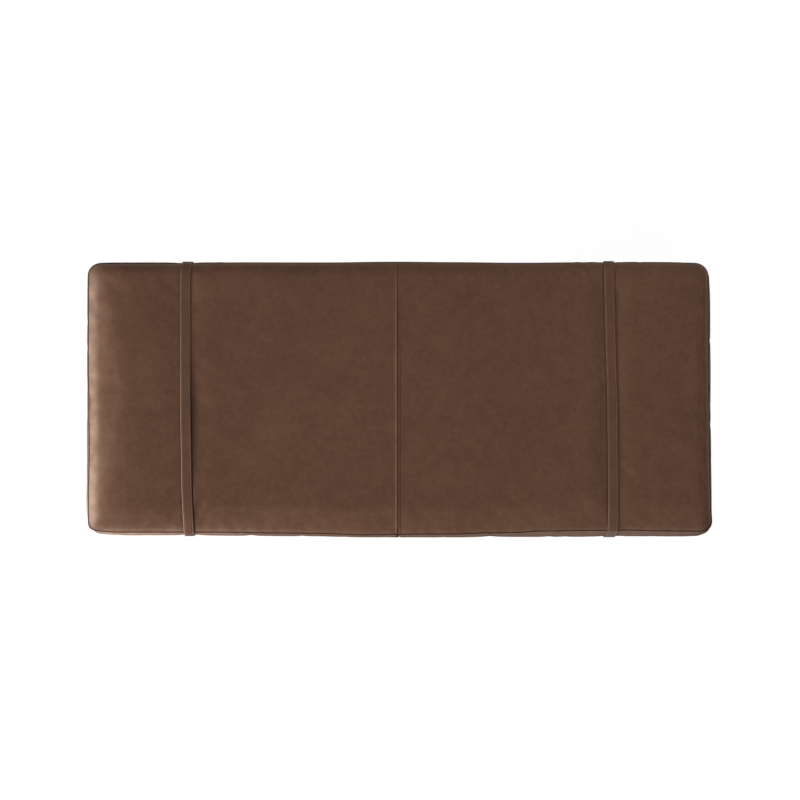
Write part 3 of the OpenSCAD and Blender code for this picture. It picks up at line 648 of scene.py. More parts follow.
def tape():
    """Woven tape: a fine herringbone of threads."""
    f = Finish("zip_tape", Specular_IOR_Level=0.15, Sheen_Weight=0.2, Roughness=0.85)
    ribs = [f.add("TexWave", {"Vector": f.scaled(turn=(0, turn, 0)), "Scale": 330.0}).outputs["Fac"]
            for turn in (0.6, -0.6)]
    weave = f.math("MULTIPLY", *ribs)
    f.bumps((weave, 0.15 * MM))
    return f.to(Base_Color=f.mix(weave, (0.012, 0.010, 0.009), (0.030, 0.024, 0.020)))


def coil():
    f = Finish("zip_coil", Specular_IOR_Level=0.5)
    f.bumps((f.noise(700), 0.05 * MM))
    return f.to(Base_Color=f.mix(f.noise(80), (0.022, 0.018, 0.015), (0.040, 0.032, 0.026)),
                Roughness=f.follow(f.noise(200), 0.3, 0.45))


def wood(name, axis, early, late, pores, gloss, rings=26.0):
    """Wood with its grain along an axis: broad rings, fine streaks and short pores."""
    f = Finish(name)
    near, nearer = (f.scaled([share if a == axis else 1 for a in "XYZ"]) for share in (0.06, 0.03))
    bands = f.add("TexWave", {"Vector": near, "Scale": rings, "Distortion": 7.0, "Detail": 3.0,
                              "Detail Scale": 1.2, "Detail Roughness": 0.6},
                  wave_type="RINGS", rings_direction=axis).outputs["Fac"]
    streaks = f.noise(220, 3, 0.6, at=near)
    specks = f.noise(900, 2, 0.6, at=nearer)
    colour = f.mix(f.sum((bands, 0.6), (f.noise(7, 2, 0.5, 0.6, at=near), 0.4)), early, late)
    colour = f.mix(f.between(streaks, 0.3, 0.75, 0, 0.5), colour, late)
    colour = f.mix(f.between(specks, 0.62, 0.72, 0, 0.7), colour, pores)
    f.bumps((streaks, 0.10 * MM), (specks, 0.08 * MM))
    return f.to(Base_Color=colour, Roughness=f.follow(streaks, gloss, gloss + 0.12),
                Specular_IOR_Level=f.sheer(0.35))


def dark_wood(axis):
    colours = (0.070, 0.034, 0.019), (0.030, 0.014, 0.008), (0.012, 0.006, 0.004)
    return wood("dark_wood_" + axis, axis, *colours, 0.34)


def plain_wood(axis):
    colours = (0.60, 0.44, 0.25), (0.46, 0.30, 0.15), (0.30, 0.18, 0.09)
    return wood("plain_wood_" + axis, axis, *colours, 0.6, 18.0)


def plywood():
    """Birch faces, and thin layers of changing grain on the cut edges."""
    f = Finish("plywood", Specular_IOR_Level=0.25)
    face = f.noise(150, 4, 0.65, 0.4, at=f.scaled((0.08, 1, 1)))
    cloud = f.noise(5, 3, 0.6, 1.0, at=f.scaled((0.3, 1, 1)))
    colour = f.mix(f.sum((face, 0.6), (cloud, 0.4)), (0.60, 0.44, 0.27), (0.45, 0.30, 0.17))
    height = f.add("SeparateXYZ", {0: f.place}).outputs["Z"]
    ply = (DECK_HIGH.z - DECK_LOW.z) / PLIES
    layer = f.between(f.math("PINGPONG", f.math("SUBTRACT", height, DECK_LOW.z), ply), 0, ply)
    normal = f.add("NewGeometry").outputs["True Normal"]
    upright = f.math("ABSOLUTE", f.add("SeparateXYZ", {0: normal}).outputs["Z"])
    on_edge = f.between(upright, 0.5, 0.9, 1, 0)
    dark_ply = f.math("MULTIPLY", on_edge, f.between(layer, 0.35, 0.65, 0, 0.75))
    colour = f.mix(dark_ply, colour, (0.26, 0.15, 0.08))
    f.bumps((face, 0.12 * MM))
    return f.to(Base_Color=colour, Roughness=f.follow(face, 0.55, 0.7))


def metal(name, light, dark, rough, spots):
    """Metal with a cloudy colour and spots of grime."""
    f = Finish(name, Metallic=1.0)
    cloud = f.noise(240, 4, 0.65)
    grime = f.noise(90, 5, 0.7, 0.8)
    colour = f.mix(f.follow(cloud), dark, light)
    colour = f.mix(f.between(grime, 0.5, 0.68, 0, spots), colour, [0.25 * c for c in dark])
    f.bumps((f.noise(1500), 0.03 * MM), (cloud, 0.05 * MM))
    return f.to(Base_Color=colour, Roughness=f.follow(grime, rough, rough + 0.2))


def zinc_steel():
    return metal("zinc_steel", (0.44, 0.44, 0.45), (0.28, 0.28, 0.29), 0.3, 0.4)


def brass():
    return metal("insert_brass", (0.56, 0.43, 0.21), (0.40, 0.30, 0.14), 0.3, 0.3)


def antique(name, colour):
    return metal(name, [1.5 * c for c in colour], [0.7 * c for c in colour], 0.3, 0.8)


def nylon():
    f = Finish("nylon", Specular_IOR_Level=0.4)
    f.bumps((f.noise(1100, 3), 0.08 * MM))
    return f.to(Base_Color=f.mix(f.noise(60, 3), (0.020, 0.020, 0.021), (0.036, 0.036, 0.038)),
                Roughness=f.follow(f.noise(150), 0.45, 0.6))


STRAP_LEATHER = strap_leather()
UNDER_LEATHER = under_leather_finish()
THREAD = thread()
FIBRE = fibre()
FOAM = foam()
TAPE = tape()
COIL = coil()


# Cover of the cushion

EDGE_STEPS = steps(HALF_D, 0.5 * MM, 5 * MM)
ACROSS = np.concatenate([EDGE_STEPS / HALF_D - 1, (1 - EDGE_STEPS / HALF_D)[-2::-1]])


def along_half():
    """Distances from the centre seam, from the end of the seat inwards, closer together at the strap."""
    corner = HALF_L - CORNER_R * (1 - np.cos(np.linspace(0, math.pi / 2, 18)))
    seam = steps(HALF_L - CORNER_R, 0.4 * MM, 5 * MM, 1.2)
    reach = 25.5 * MM
    strap = STRAP_X + np.linspace(-reach, reach, 35)
    seam = seam[np.abs(seam - STRAP_X) > reach + MM]
    places = np.unique(np.round(np.concatenate([corner, seam, strap]), 6))
    kept = [places[0]]
    for p in places[1:]:
        if p - kept[-1] > 0.05 * MM or p in corner:
            kept.append(p)
    return np.array(kept)[::-1]


ALONG = along_half()


def seam_ridge(d, t, side):
    """Height beside the centre seam: a folded ridge on its left, the line of stitches on its right."""
    if side < 0:
        high = RIDGE_H * (1 - 0.6 * smooth(0.5, 1, t))
        return high * bell(d - RIDGE_AT, RIDGE_W) - lip(d, SEAM_R[0])
    return -LINE_DEEP * stitch_line(d, t) - lip(d, SEAM_R[1])


def stitch_line(d, t):
    """1 along the line right of the centre seam, which fades towards the back."""
    return bell(d - LINE_AT, LINE_W) * (1 - smooth(0.15, 0.7, t))


def top_folds():
    """The folds of the whole top leather, held at its seams and under the straps."""
    rows, cols = TOP_GRID
    x, t = lattice(np.linspace(-HALF_L, HALF_L, rows), np.linspace(-1, 1, cols))
    x, y, z = top_shape(x, t)
    held = (seam_distance(x, y) < TOP_HELD) | (beside_strap(x, t) < TOP_HELD)
    return cloth_folds(np.stack([x, y, z], 2), held, *TOP_CLOTH, flip=True)


def top_shape(x, t):
    """Points of the top leather, with its rounded edge and the small gathers along the seam."""
    y = t * half_depth(x)
    d = seam_distance(x, y)
    gathers = waves(x, y, *TOP_GATHERS) * np.exp(-d / (14 * MM)) * smooth(0, 3 * MM, d)
    return x, y, top_height(x, t) - lip(d) + gathers + waves(x, y, *TOP_WAVES) * smooth(0, WAVES_IN, d)


def rim_of(rows, cols):
    """Indices round the front, the end and the back of a panel, from centre seam to centre seam."""
    front = [r * cols for r in range(rows - 1, 0, -1)]
    end = list(range(cols))
    back = [r * cols + cols - 1 for r in range(1, rows)]
    return front + end + back


def outward(x, y):
    """Unit direction out of the seat at a point on the seam."""
    qx = np.sign(x) * np.maximum(0, np.abs(x) - (HALF_L - CORNER_R))
    qy = np.sign(y) * np.maximum(0, np.abs(y) - (HALF_D - CORNER_R))
    size = np.maximum(np.hypot(qx, qy), 1e-9)
    return qx / size, qy / size


def painted_strap_shadows(x, t):
    """Painted shadows beside the straps: a narrow one and a wide cast one right of the left strap, and a
    narrow one left of the right strap.
    """
    left, far = x < 0, from_strap(x, t)
    # Narrow painted shadow along the strap's edge; on the left strap it fades towards the back.
    near = bell(beside_strap(x, t) - 0.6 * MM, np.where(left, 2.4, 1.3) * MM)
    fading = 1 - 0.85 * smooth(-0.3, 0.4, t)
    near = near * np.where(left, (far > 0) * fading, 0.5 * (far < 0))
    # Wide, soft painted shadow that the proud left strap casts from the low lamp on the left.
    wide = 0.8 * bell(far - STRAP_W / 2, 17 * MM) * bell(t + 0.15, 0.45) * left
    return np.maximum(near, wide)


def top_grid(d, t, side):
    """Points of half the top leather, with its folds and its half of the centre seam."""
    x, y, z = top_shape(side * d, t)
    rows, cols = TOP_GRID
    move = smooth_between(TOP_FOLDS, (x / HALF_L + 1) / 2 * (rows - 1), (t + 1) / 2 * (cols - 1))
    x, y, z = x + move[..., 0], y + move[..., 1], z + move[..., 2]
    z = z + seam_ridge(d, t, side) * smooth(0, 6 * MM, seam_distance(x, y))
    return np.stack([np.where(d < SEAM_HALF, side * SEAM_HALF, x), y, z], 2)


def top_painted_light_and_wear(points, side, d, t):
    """Values for half the top leather: painted shade in its seams, painted shadows beside the straps, and
    a paler tan that is partly wear and partly painted highlight.
    """
    n = d.size
    distance = np.concatenate([seam_distance(*points[:n, :2].T), np.zeros(len(points) - n)])
    x_share, y_share = points[:, 0] / HALF_L, points[:, 1] / HALF_D
    # Painted shade in the seam round the edge, fading out within 3 mm.
    crease = 1 - smooth(1.2 * MM, 3 * MM, distance)
    # A paler tan along the seam, stronger towards the left: partly wear, partly painted highlight from the
    # lamps on the left.
    worn = (0.10 + 0.16 * smooth(0.2, -0.6, x_share)) * bell(distance - 3 * MM, 5 * MM)
    # Painted shade in the centre seam.
    at_seam = bell(d, (1.2 if side < 0 else 0.8) * MM)
    if side < 0:
        from_end = points[:, 0] + HALF_L
        # Painted highlight on the lit roll at the left end, fading towards the back.
        painted_end_highlight = 0.3 * bell(from_end, 30 * MM) + 0.64 * bell(from_end, 19 * MM, 4)
        worn = np.maximum(worn, painted_end_highlight * (1 - 0.85 * smooth(0.75, 1, y_share)))
        # Painted highlight on the front roll near the left end.
        painted_front_highlight = smooth(-0.3, -1, x_share) * smooth(-0.15, -0.45, y_share)
        worn = worn + 0.3 * painted_front_highlight * bell(distance, 11 * MM)
        # Painted highlight on the ridge left of the centre seam.
        worn[:n] = np.maximum(worn[:n], 0.15 * bell(d.ravel() - 3.1 * MM, 1.2 * MM))
    else:
        # Painted shade in the groove right of the centre seam, fading towards the back.
        at_seam = np.maximum(at_seam, 0.55 * stitch_line(d, t))
    # The painted shade of the centre seam, and the painted shadows beside the straps.
    dark = np.maximum(0.85 * at_seam, painted_strap_shadows(side * d, t))
    crease[:n] = np.maximum(crease[:n], dark.ravel())
    return crease, worn


def top_panel(side, name, node):
    """Half the top leather, turned in at its seams."""
    rows, cols = len(ALONG), len(ACROSS)
    d, t = lattice(ALONG, ACROSS)
    grid = top_grid(d, t, side).reshape(-1, 3)
    rim = np.array(rim_of(rows, cols))
    rx, ry, rz = grid[rim].T
    nx, ny = outward(rx, ry)
    turned = [np.stack([rx - nx * go, ry - ny * go, rz - drop], 1) for go, drop in RIM_TURN]
    at_middle = np.arange((rows - 1) * cols, rows * cols)
    folded = [grid[at_middle] - (0, 0, drop) for drop in MIDDLE_TURN]
    faces, start = grid_faces(rows, cols).tolist(), len(grid)
    for chain in (rim, at_middle):
        for _ in range(2):
            after = np.arange(start, start + len(chain))
            faces += np.stack([chain[1:], after[1:], after[:-1], chain[:-1]], 1).tolist()
            chain, start = after, start + len(after)
    points = np.concatenate([grid] + turned + folded)
    crease, worn = top_painted_light_and_wear(points, side, d, t)
    obj = make_mesh(name, settled(points), faces, LEATHER, flip=side > 0)
    upholster(obj, node, crease=crease, worn=worn)


def outline(s):
    """Point and outward direction at a distance s along the seam, from the middle of the front on."""
    straight, arc, end = HALF_L - CORNER_R, CORNER_R * math.pi / 2, 2 * (HALF_D - CORNER_R)
    x, y, nx, ny = (np.zeros_like(s) for _ in range(4))
    first = s <= straight
    x[first], y[first], ny[first] = -s[first], -HALF_D, -1
    for start, cx, cy, turn in ((straight, -straight, CORNER_R - HALF_D, -math.pi / 2),
                                (straight + arc + end, -straight, HALF_D - CORNER_R, -math.pi)):
        on = (s > start) & (s <= start + arc)
        a = turn - (s[on] - start) / CORNER_R
        nx[on], ny[on] = np.cos(a), np.sin(a)
        x[on], y[on] = cx + CORNER_R * nx[on], cy + CORNER_R * ny[on]
    on = (s > straight + arc) & (s <= straight + arc + end)
    x[on], y[on], nx[on] = -HALF_L, CORNER_R - HALF_D + (s[on] - straight - arc), -1
    on = s > straight + 2 * arc + end
    x[on], y[on], ny[on] = -straight + (s[on] - straight - 2 * arc - end), HALF_D, 1
    return x, y, nx, ny


BAND_LENGTH = 2 * (HALF_L - CORNER_R) + CORNER_R * math.pi + 2 * (HALF_D - CORNER_R) - ZIP_HALF
BAND_EDGE = np.array([0, 0.012, 0.03, 0.06, 0.1])
BAND_ROWS = np.concatenate([BAND_EDGE, np.linspace(0.15, 0.85, 14), 1 - BAND_EDGE[::-1]])


def band_swell(x, y, level):
    """How far the side band stands out at a share of its height."""
    long_side = smooth(HALF_D - 2 * CORNER_R, HALF_D, np.abs(y))
    front = smooth(HALF_D - 2 * CORNER_R, HALF_D, -y)
    most = SWELL * (1 - front) + through(FRONT_SWELL, x / HALF_L) * front
    pressed = dent(x, np.sign(y)) * long_side
    most = most - SIDE_PRESS * pressed * smooth(0, 4 * MM, most)
    most = most + waves(x, y, *BAND_WAVES) * (1 - pressed) + front * 1.8 * MM * bell(x, 9 * MM)
    back_right = smooth(HALF_L - 3 * CORNER_R, HALF_L, x) * smooth(HALF_D - 3 * CORNER_R, HALF_D, y)
    zip_end = np.where(y > HALF_D / 2, np.clip((np.abs(x) - ZIP_HALF) / PRESS_W, 0, 1), 1)
    full = 1 - np.abs(2 * level - 1) ** 3.2
    return most * (1 - 0.45 * back_right) * smooth(0, 1, zip_end) * full


def band_points(s, level, side):
    """Points of half the side band as on the left, and their distances from its seams."""
    x, y, nx, ny = outline(s)
    z = BAND_BASE + (BAND_TOP - BAND_BASE) * level
    edge = np.minimum(level, 1 - level) * (BAND_TOP - BAND_BASE)
    pucker = waves(s, z, *BAND_PUCKERS) * np.exp(-edge / (9 * MM)) * smooth(0, 2 * MM, edge)
    out = band_swell(side * -x, y, level) - lip(edge, FOLD_R) + pucker
    return x + nx * out, y + ny * out, z, edge


def band_folds(side):
    """The folds of half the side band, held at its seams, under the strap and at its ends."""
    rows, cols = BAND_GRID
    s, level = lattice(np.linspace(0, BAND_LENGTH, rows), np.linspace(0, 1, cols))
    x, y, z, edge = band_points(s, level, side)
    at_strap = (beside_strap(-side * x, np.sign(y)) < STRAP_HELD) & (np.abs(y) > HALF_D / 2)
    held = (edge < BAND_HELD) | at_strap | (s < BAND_HELD) | (s > BAND_LENGTH - BAND_HELD)
    return cloth_folds(np.stack([x, y, z], 2), held, *BAND_CLOTH)


def side_band(side, name, node):
    """Half the side band, turned in at its seams."""
    stations = np.linspace(0, BAND_LENGTH, 330)
    s, level = lattice(stations, BAND_ROWS)
    x, y, z, edge = band_points(s, level, side)
    rows, cols = BAND_GRID
    move = smooth_between(band_folds(side), s / BAND_LENGTH * (rows - 1), level * (cols - 1))
    _, _, nx, ny = outline(stations)
    low, high = (np.stack([-nx * TUCK, -ny * TUCK, np.full(len(nx), up)], 1)
                 for up in (-BAND_TURN, BAND_TURN))
    band = with_edges(np.stack([x, y, z], 2) + move, low, high) * (-side, 1, 1)
    x, y, z = np.moveaxis(band, 2, 0)
    edge = np.pad(edge, ((0, 0), (1, 1)))
    # Painted shade in the seam at the middle of the front and along the band's seams, widest under the
    # top's rounded edge.
    at_seam = np.exp(-np.abs(x) / (0.9 * MM)) * (y < -HALF_D / 2)
    upper = z > (BAND_TOP + BAND_BASE) / 2
    seam_shade = np.where(upper, 1 - smooth(1.5 * MM, 5 * MM, edge), 1 - smooth(0, 1.5 * MM, edge))
    crease = np.maximum(seam_shade, at_seam)
    # Painted highlight on the left end and the left of the front, where the lamps from the left fall; the
    # paler tan along the seams is wear.
    painted_left_highlight = smooth(-0.3 * HALF_L, -HALF_L, x) * (0.1 + 0.7 * smooth(-HALF_D / 2, -HALF_D, y))
    worn = 0.3 * bell(edge - 3 * MM, 5 * MM) + painted_left_highlight
    obj = make_sheet(name, settled(band), LEATHER, flip=side > 0)
    upholster(obj, node, crease=crease, worn=worn * (1 - crease))


TOP_FOLDS = top_folds()
for side, word in ((-1, "left"), (1, "right")):
    top_panel(side, "top_leather_" + word, "top_panel_" + word)
    side_band(side, "side_leather_" + word, "boxing_" + word)


def under_leather():
    """The flat underside, which rests on the deck."""
    x, t = lattice(np.concatenate([-ALONG[:-1], ALONG[::-1]]), ACROSS)
    y = t * half_depth(x)
    grid = np.stack([x, y, SEAT_Z + lip(seam_distance(x, y), UNDER_R)], 2)
    obj = make_sheet("under_leather", settled(grid), UNDER_LEATHER, flip=True)
    upholster(obj, "bottom_panel", "under_cloth")


under_leather()

# Filling of the cushion


def filling_rings(inset, under_gap, top_gap):
    """Closed sections through the cushion, from end to end."""
    ends = (HALF_L - LEATHER_T - 2 * MM) * np.sin(np.linspace(-1, 1, 61) * math.pi / 2)
    t = np.sin(np.linspace(-1, 1, 41) * math.pi / 2)
    base, down = SEAT_Z + LEATHER_T + under_gap, LEATHER_T + top_gap
    rings = []
    for x in ends:
        half = half_depth(x) - inset
        edge = (1 - np.abs(t)) * half
        over = top_height(x, t * half / half_depth(x)) - down - lip(edge, FILL_R[1])
        y = np.concatenate([t * half, (t * half)[::-1]])
        z = np.concatenate([base + lip(edge, FILL_R[0]), over[::-1]])
        rings.append(np.stack([np.full(len(y), x), y, z], 1))
    return np.array(rings)


def fibre_sleeve():
    """The fibre sheet round the foam, open at both ends."""
    rings = filling_rings(*FIBRE_PLACE)
    obj = make_sheet("cushion_fibre", settled(rings), FIBRE, close_cols=True)
    thicken(obj, FIBRE_T)
    place(obj, "fibre", "fibre_wrap")


def foam_block():
    rings = filling_rings(*FOAM_PLACE)
    rows, cols = rings.shape[:2]
    faces = grid_faces(rows, cols, close_cols=True).tolist() + end_caps(rows, cols)
    obj = make_mesh("cushion_foam", settled(rings), faces, FOAM)
    place(obj, "foam", "foam_core")


fibre_sleeve()
foam_block()

# Zip in the back of the side band


def zip_band(name, node, seam_z, zip_edge):
    """A leather strip from the seam to the zip, folded in at both."""
    x = np.linspace(-ZIP_HALF, ZIP_HALF, 241)
    share = np.array([0, 0.02, 0.06, 0.15, 0.3, 0.5, 0.7, 0.85, 0.94, 0.98, 1])
    px, ps = lattice(x, share)
    pz = seam_z + (zip_edge - seam_z) * ps
    bulge = 0.9 * MM * np.sin(math.pi * ps) * smooth(0, PRESS_W, ZIP_HALF - np.abs(px))
    from_edge = np.minimum(np.abs(pz - seam_z), np.abs(pz - zip_edge))
    py = HALF_D - GAP + bulge - lip(from_edge, FOLD_R) + waves(px, pz, *ZIP_WAVES) * np.sin(math.pi * ps)
    into = np.sign(zip_edge - seam_z)
    at_seam, at_zip = np.array([[0, -TUCK, -into * 0.5 * MM]]), np.array([[0, -2 * MM, into * 0.5 * MM]])
    grid = with_edges(np.stack([px, py, pz], 2), at_seam, at_zip)
    seam_far, zip_far = (np.abs(part * (zip_edge - seam_z)) for part in (share, 1 - share))
    # Painted shade in the seam.
    crease = bell(np.concatenate([[0], seam_far, [0]]), 1.2 * MM)
    worn = 0.5 * bell(np.concatenate([[9], zip_far, [0]]), 1.5 * MM)
    obj = make_sheet(name, settled(grid), LEATHER, flip=into < 0)
    upholster(obj, node, crease=np.tile(crease, len(x)), worn=np.tile(worn, len(x)))


def zip_tape():
    """Two woven tapes behind the leather strips, with a bead along the edge that holds the teeth."""
    low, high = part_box("zip_tapes")
    share = np.array([0, 0.04, 0.09, 0.14, 0.3, 0.5, 0.7, 0.85, 1])
    bead = np.array([0.3, 0.5, 0.3, 0, 0, 0, 0, 0, 0]) * MM
    px, ps = lattice(np.linspace(-ZIP_HALF, ZIP_HALF, 351), share)
    py = high.y - 0.5 * MM + bead + waves(px, ps * 0.01, *TAPE_WAVES)
    grids = []
    for end, far in ((-1, low.z), (1, high.z)):
        near = ZIP_Z + end * (ZIP_HIGH.z - ZIP_Z + 0.2 * MM)
        grids.append(np.stack([px, py, near + (far - near) * ps], 2))
    obj = make_mesh("zip_tape", *joined(grids, (-1, 1)), TAPE, flip=True)
    thicken(obj, TAPE_T)
    place(obj, "zip_tape", "zip_tapes")


def zip_teeth():
    """The two meshing coils of the zip, each a flattened helix."""
    pitch, wire, per_turn, sides = 2.0 * MM, 0.42 * MM, 12, 6
    turns = int((2 * ZIP_HALF - 2 * wire) / pitch)
    k = np.arange(turns * per_turn + 1)
    a = 2 * math.pi * k / per_turn
    deep, mid_y = (ZIP_HIGH.y - ZIP_LOW.y) / 2 - wire, (ZIP_HIGH.y + ZIP_LOW.y) / 2
    half = (ZIP_HIGH.z - ZIP_Z) / 2
    grids = []
    for end, shift in ((-1, 0), (1, 0.25)):
        x = -ZIP_HALF + wire + pitch * (k / per_turn + shift)
        line = np.stack([np.minimum(x, ZIP_HALF - wire), mid_y + deep * np.sin(a),
                         ZIP_Z + end * (half + (half - wire) * 1.25 * np.cos(a) - 0.2 * half)], 1)
        grids.append(tube(line, wire, sides))
    obj = make_mesh("zip_teeth", *joined(grids, (1, 1), close_cols=True), COIL)
    place(obj, "zip_coil", "zip_coil")


def tube(line, radius, sides):
    """Rings of points round a line."""
    along = np.gradient(line, axis=0)
    along /= np.linalg.norm(along, axis=1, keepdims=True)
    first = np.cross(along, (0.93, 0.21, 0.31))
    first /= np.linalg.norm(first, axis=1, keepdims=True)
    second = np.cross(along, first)
    a = (2 * math.pi * np.arange(sides) / sides)[:, None]
    return line[:, None] + radius * (np.cos(a) * first[:, None] + np.sin(a) * second[:, None])


zip_band("zip_band_upper", "zip_strip_upper", BAND_TOP, ZIP_Z + ZIP_SLOT)
zip_band("zip_band_lower", "zip_strip_lower", BAND_BASE, ZIP_Z - ZIP_SLOT)
zip_tape()
zip_teeth()

# Straps


def spaced(points, spacing, soften):
    """A path's points, evenly spaced and with its corners rounded."""
    points = np.asarray(points, float)
    run = np.concatenate([[0], np.cumsum(np.hypot(*np.diff(points, axis=0).T))])
    places = np.linspace(0, run[-1], int(run[-1] / spacing) + 1)
    path = np.stack([np.interp(places, run, points[:, k]) for k in (0, 1)], 1)
    reach = int(3 * soften / spacing)
    weights = np.exp(-0.5 * (np.arange(-reach, reach + 1) * spacing / soften) ** 2)
    before = 2 * path[0] - path[reach:0:-1]
    after = 2 * path[-1] - path[-2 : -reach - 2 : -1]
    longer = np.concatenate([before, path, after])
    return np.stack([np.convolve(longer[:, k], weights / weights.sum(), "valid") for k in (0, 1)], 1)


def arc(y, z, radius, start, end, count=10):
    """Points on a round from one angle in degrees to another."""
    a = np.radians(np.linspace(start, end, count))
    return np.stack([y + radius * np.cos(a), z + radius * np.sin(a)], 1)


def cushion_side(side, sign):
    """The side band under a strap, upwards: y and z."""
    level = np.linspace(0.05, 0.97, 16)
    x = np.full(len(level), side * STRAP_X + strap_course(side, sign))
    y = sign * (HALF_D + band_swell(x, sign * HALF_D, level) + GAP)
    _, y, z = settle(x, y, BAND_BASE + (BAND_TOP - BAND_BASE) * level)
    return np.stack([y, z], 1)


def cushion_top(side):
    """The top leather under a strap, from back to front: y and z."""
    t = np.linspace(1, -1, 121)
    x = side * STRAP_X + strap_course(side, t)
    d = (1 - np.abs(t)) * HALF_D
    z = top_height(x, t) - lip(d + 0.6 * MM) + waves(x, t * HALF_D, *TOP_WAVES) * smooth(0, WAVES_IN, d)
    _, y, z = settle(x, t * (HALF_D + 0.3 * MM), z + GAP)
    return np.stack([y, z], 1)


def strap_path(side):
    """The inner face of a strap seen along X: from the buckle to the back, over the seat, to its tail."""
    low = RAIL_LOW.z - GAP
    corner_y, corner_z = RAIL_HIGH.y - RAIL_EDGE_R, RAIL_LOW.z + RAIL_EDGE_R
    corner_r = RAIL_EDGE_R + GAP
    tail_z = HEEL_Z - LOOP_R - GAP
    _, front_base, _ = settle(side * STRAP_X, -HALF_D - GAP, SEAT_Z)
    parts = [
        [(FOLD_L, low - STRAP_T - FOLD_T)],
        arc(0, HEEL_Z, LOOP_R, *LOOP_TURN, 24),
        [(FOLD_END, low)],
        arc(corner_y, corner_z, corner_r, -90, 10),
        [(HALF_D + GAP, SEAT_Z - 2 * MM)],
        cushion_side(side, 1),
        cushion_top(side),
        cushion_side(side, -1)[::-1],
        [(front_base, SEAT_Z - 2 * MM)],
        arc(-corner_y, corner_z, corner_r, 170, 270),
        [(TAIL_STEP[0], low), (TAIL_STEP[1], tail_z), (TAIL_L, tail_z)],
    ]
    return spaced(np.concatenate([np.array(p) for p in parts]), STRAP_ROW, STRAP_SOFT)


def strap_middle(side, y, z):
    """The X of a strap's middle line, which strays on the seat and is straight below it."""
    on_seat = smooth(SEAT_Z, EDGE_Z - 8 * MM, z)
    return side * STRAP_X + on_seat * strap_course(side, np.clip(y / HALF_D, -1, 1))


def strap_frame(side):
    """The strap's path with its outward directions, its thickness and its run at each point."""
    path = strap_path(side)
    along = np.gradient(path, axis=0)
    along /= np.hypot(*along.T)[:, None]
    run = np.arange(len(path)) * STRAP_ROW
    thick = FOLD_T + (STRAP_T - FOLD_T) * smooth(FOLD_L + 12 * MM, FOLD_L + 26 * MM, run)
    return path, np.stack([along[:, 1], -along[:, 0]], 1), thick, run


def strap(side, name, node):
    """A strap with its grooves, its raw edges, its slot and its holes; its raw edges get a painted
    highlight, its grooves and back turn painted shade.
    """
    path, out, thick, run = strap_frame(side)
    right = np.array(STRAP_SECTION)
    section = np.concatenate([right, right[::-1] * (-1, 1)])[:-1]
    across, up = section[:, 0] * MM, section[:, 1]
    narrow = np.sqrt(np.clip(1 - (1 - np.clip((run[-1] - run) / TAIL_TIP, 0, 1)) ** 2, 0.02, 1))
    x = strap_middle(side, *path.T)[:, None] + across * narrow[:, None]
    height = up * thick[:, None]
    y, z = (path[:, k, None] + out[:, k, None] * height for k in (0, 1))
    faces = grid_faces(*x.shape, close_cols=True).tolist() + end_caps(*x.shape)
    obj = make_mesh(name, np.stack([x, y, z], 2), faces, STRAP_LEATHER)
    raw = smooth(*RAW_EDGE, np.abs(across))
    # Painted shade where the strap turns down over the back edge, away from the lamps.
    back_turn_shade = smooth(HALF_D - 3 * MM, HALF_D, path[:, 0]) * smooth(SEAT_Z, EDGE_Z, path[:, 1])
    groove = bell(np.abs(across) - GROOVE_AT, GROOVE_W) * (up > 0.5)
    # Painted highlight on the left strap's left raw edge, which faces the lamps, strongest at the front.
    painted_edge_highlight = (0.2 + 0.8 * smooth(0.9, -0.9, path[:, 0, None] / HALF_D)) * ((across < 0) & (side < 0))
    # Painted shade in the stitch grooves and on the left raw edges, less where a highlight is painted.
    groove_and_edge_shade = np.maximum(groove, 0.5 * raw * (1 - painted_edge_highlight) * (across < 0))
    # The right raw edges are paler too, more on the left strap: partly raw-edge colour, partly painted
    # highlight.
    add_values(obj, "edge", raw * np.maximum(painted_edge_highlight, (0.5 if side < 0 else 0.25) * (across > 0)))
    add_values(obj, "crease", np.maximum(groove_and_edge_shade, back_turn_shade[:, None]))
    punch(obj, side)
    place(obj, "strap_leather", node)


def slot_cutter(x, y0, y1, radius, top):
    """A closed upright slot with round ends."""
    ring = [(x + radius * math.cos(a), y + radius * math.sin(a))
            for y, first in ((y1, 0), (y0, math.pi)) for a in np.linspace(first, first + math.pi, 13)]
    n = len(ring)
    faces = [[i, (i + 1) % n, n + (i + 1) % n, n + i] for i in range(n)]
    faces += [list(range(n))[::-1], list(range(n, 2 * n))]
    return make_mesh("cutter", [(*p, z) for z in (CUT_BASE, top) for p in ring], faces, STRAP_LEATHER)


def punch(obj, side):
    """Cuts the slot that the prong swings in, and the spare holes."""
    cuts = [(*SLOT_Y, SLOT_W / 2, SLOT_TOP)] + [(y, y + 1e-5, HOLE_R, top) for y, top in HOLES]
    cutters = [slot_cutter(side * STRAP_X, *cut) for cut in cuts]
    for cutter in cutters:
        cut = obj.modifiers.new("punch", "BOOLEAN")
        cut.object, cut.operation, cut.solver = cutter, "DIFFERENCE", "EXACT"
    bake(obj)
    for cutter in cutters:
        bpy.data.objects.remove(cutter)


def bake(obj):
    """Applies an object's modifiers to its mesh."""
    seen = obj.evaluated_get(bpy.context.evaluated_depsgraph_get())
    mesh = bpy.data.meshes.new_from_object(seen)
    obj.modifiers.clear()
    obj.data = mesh


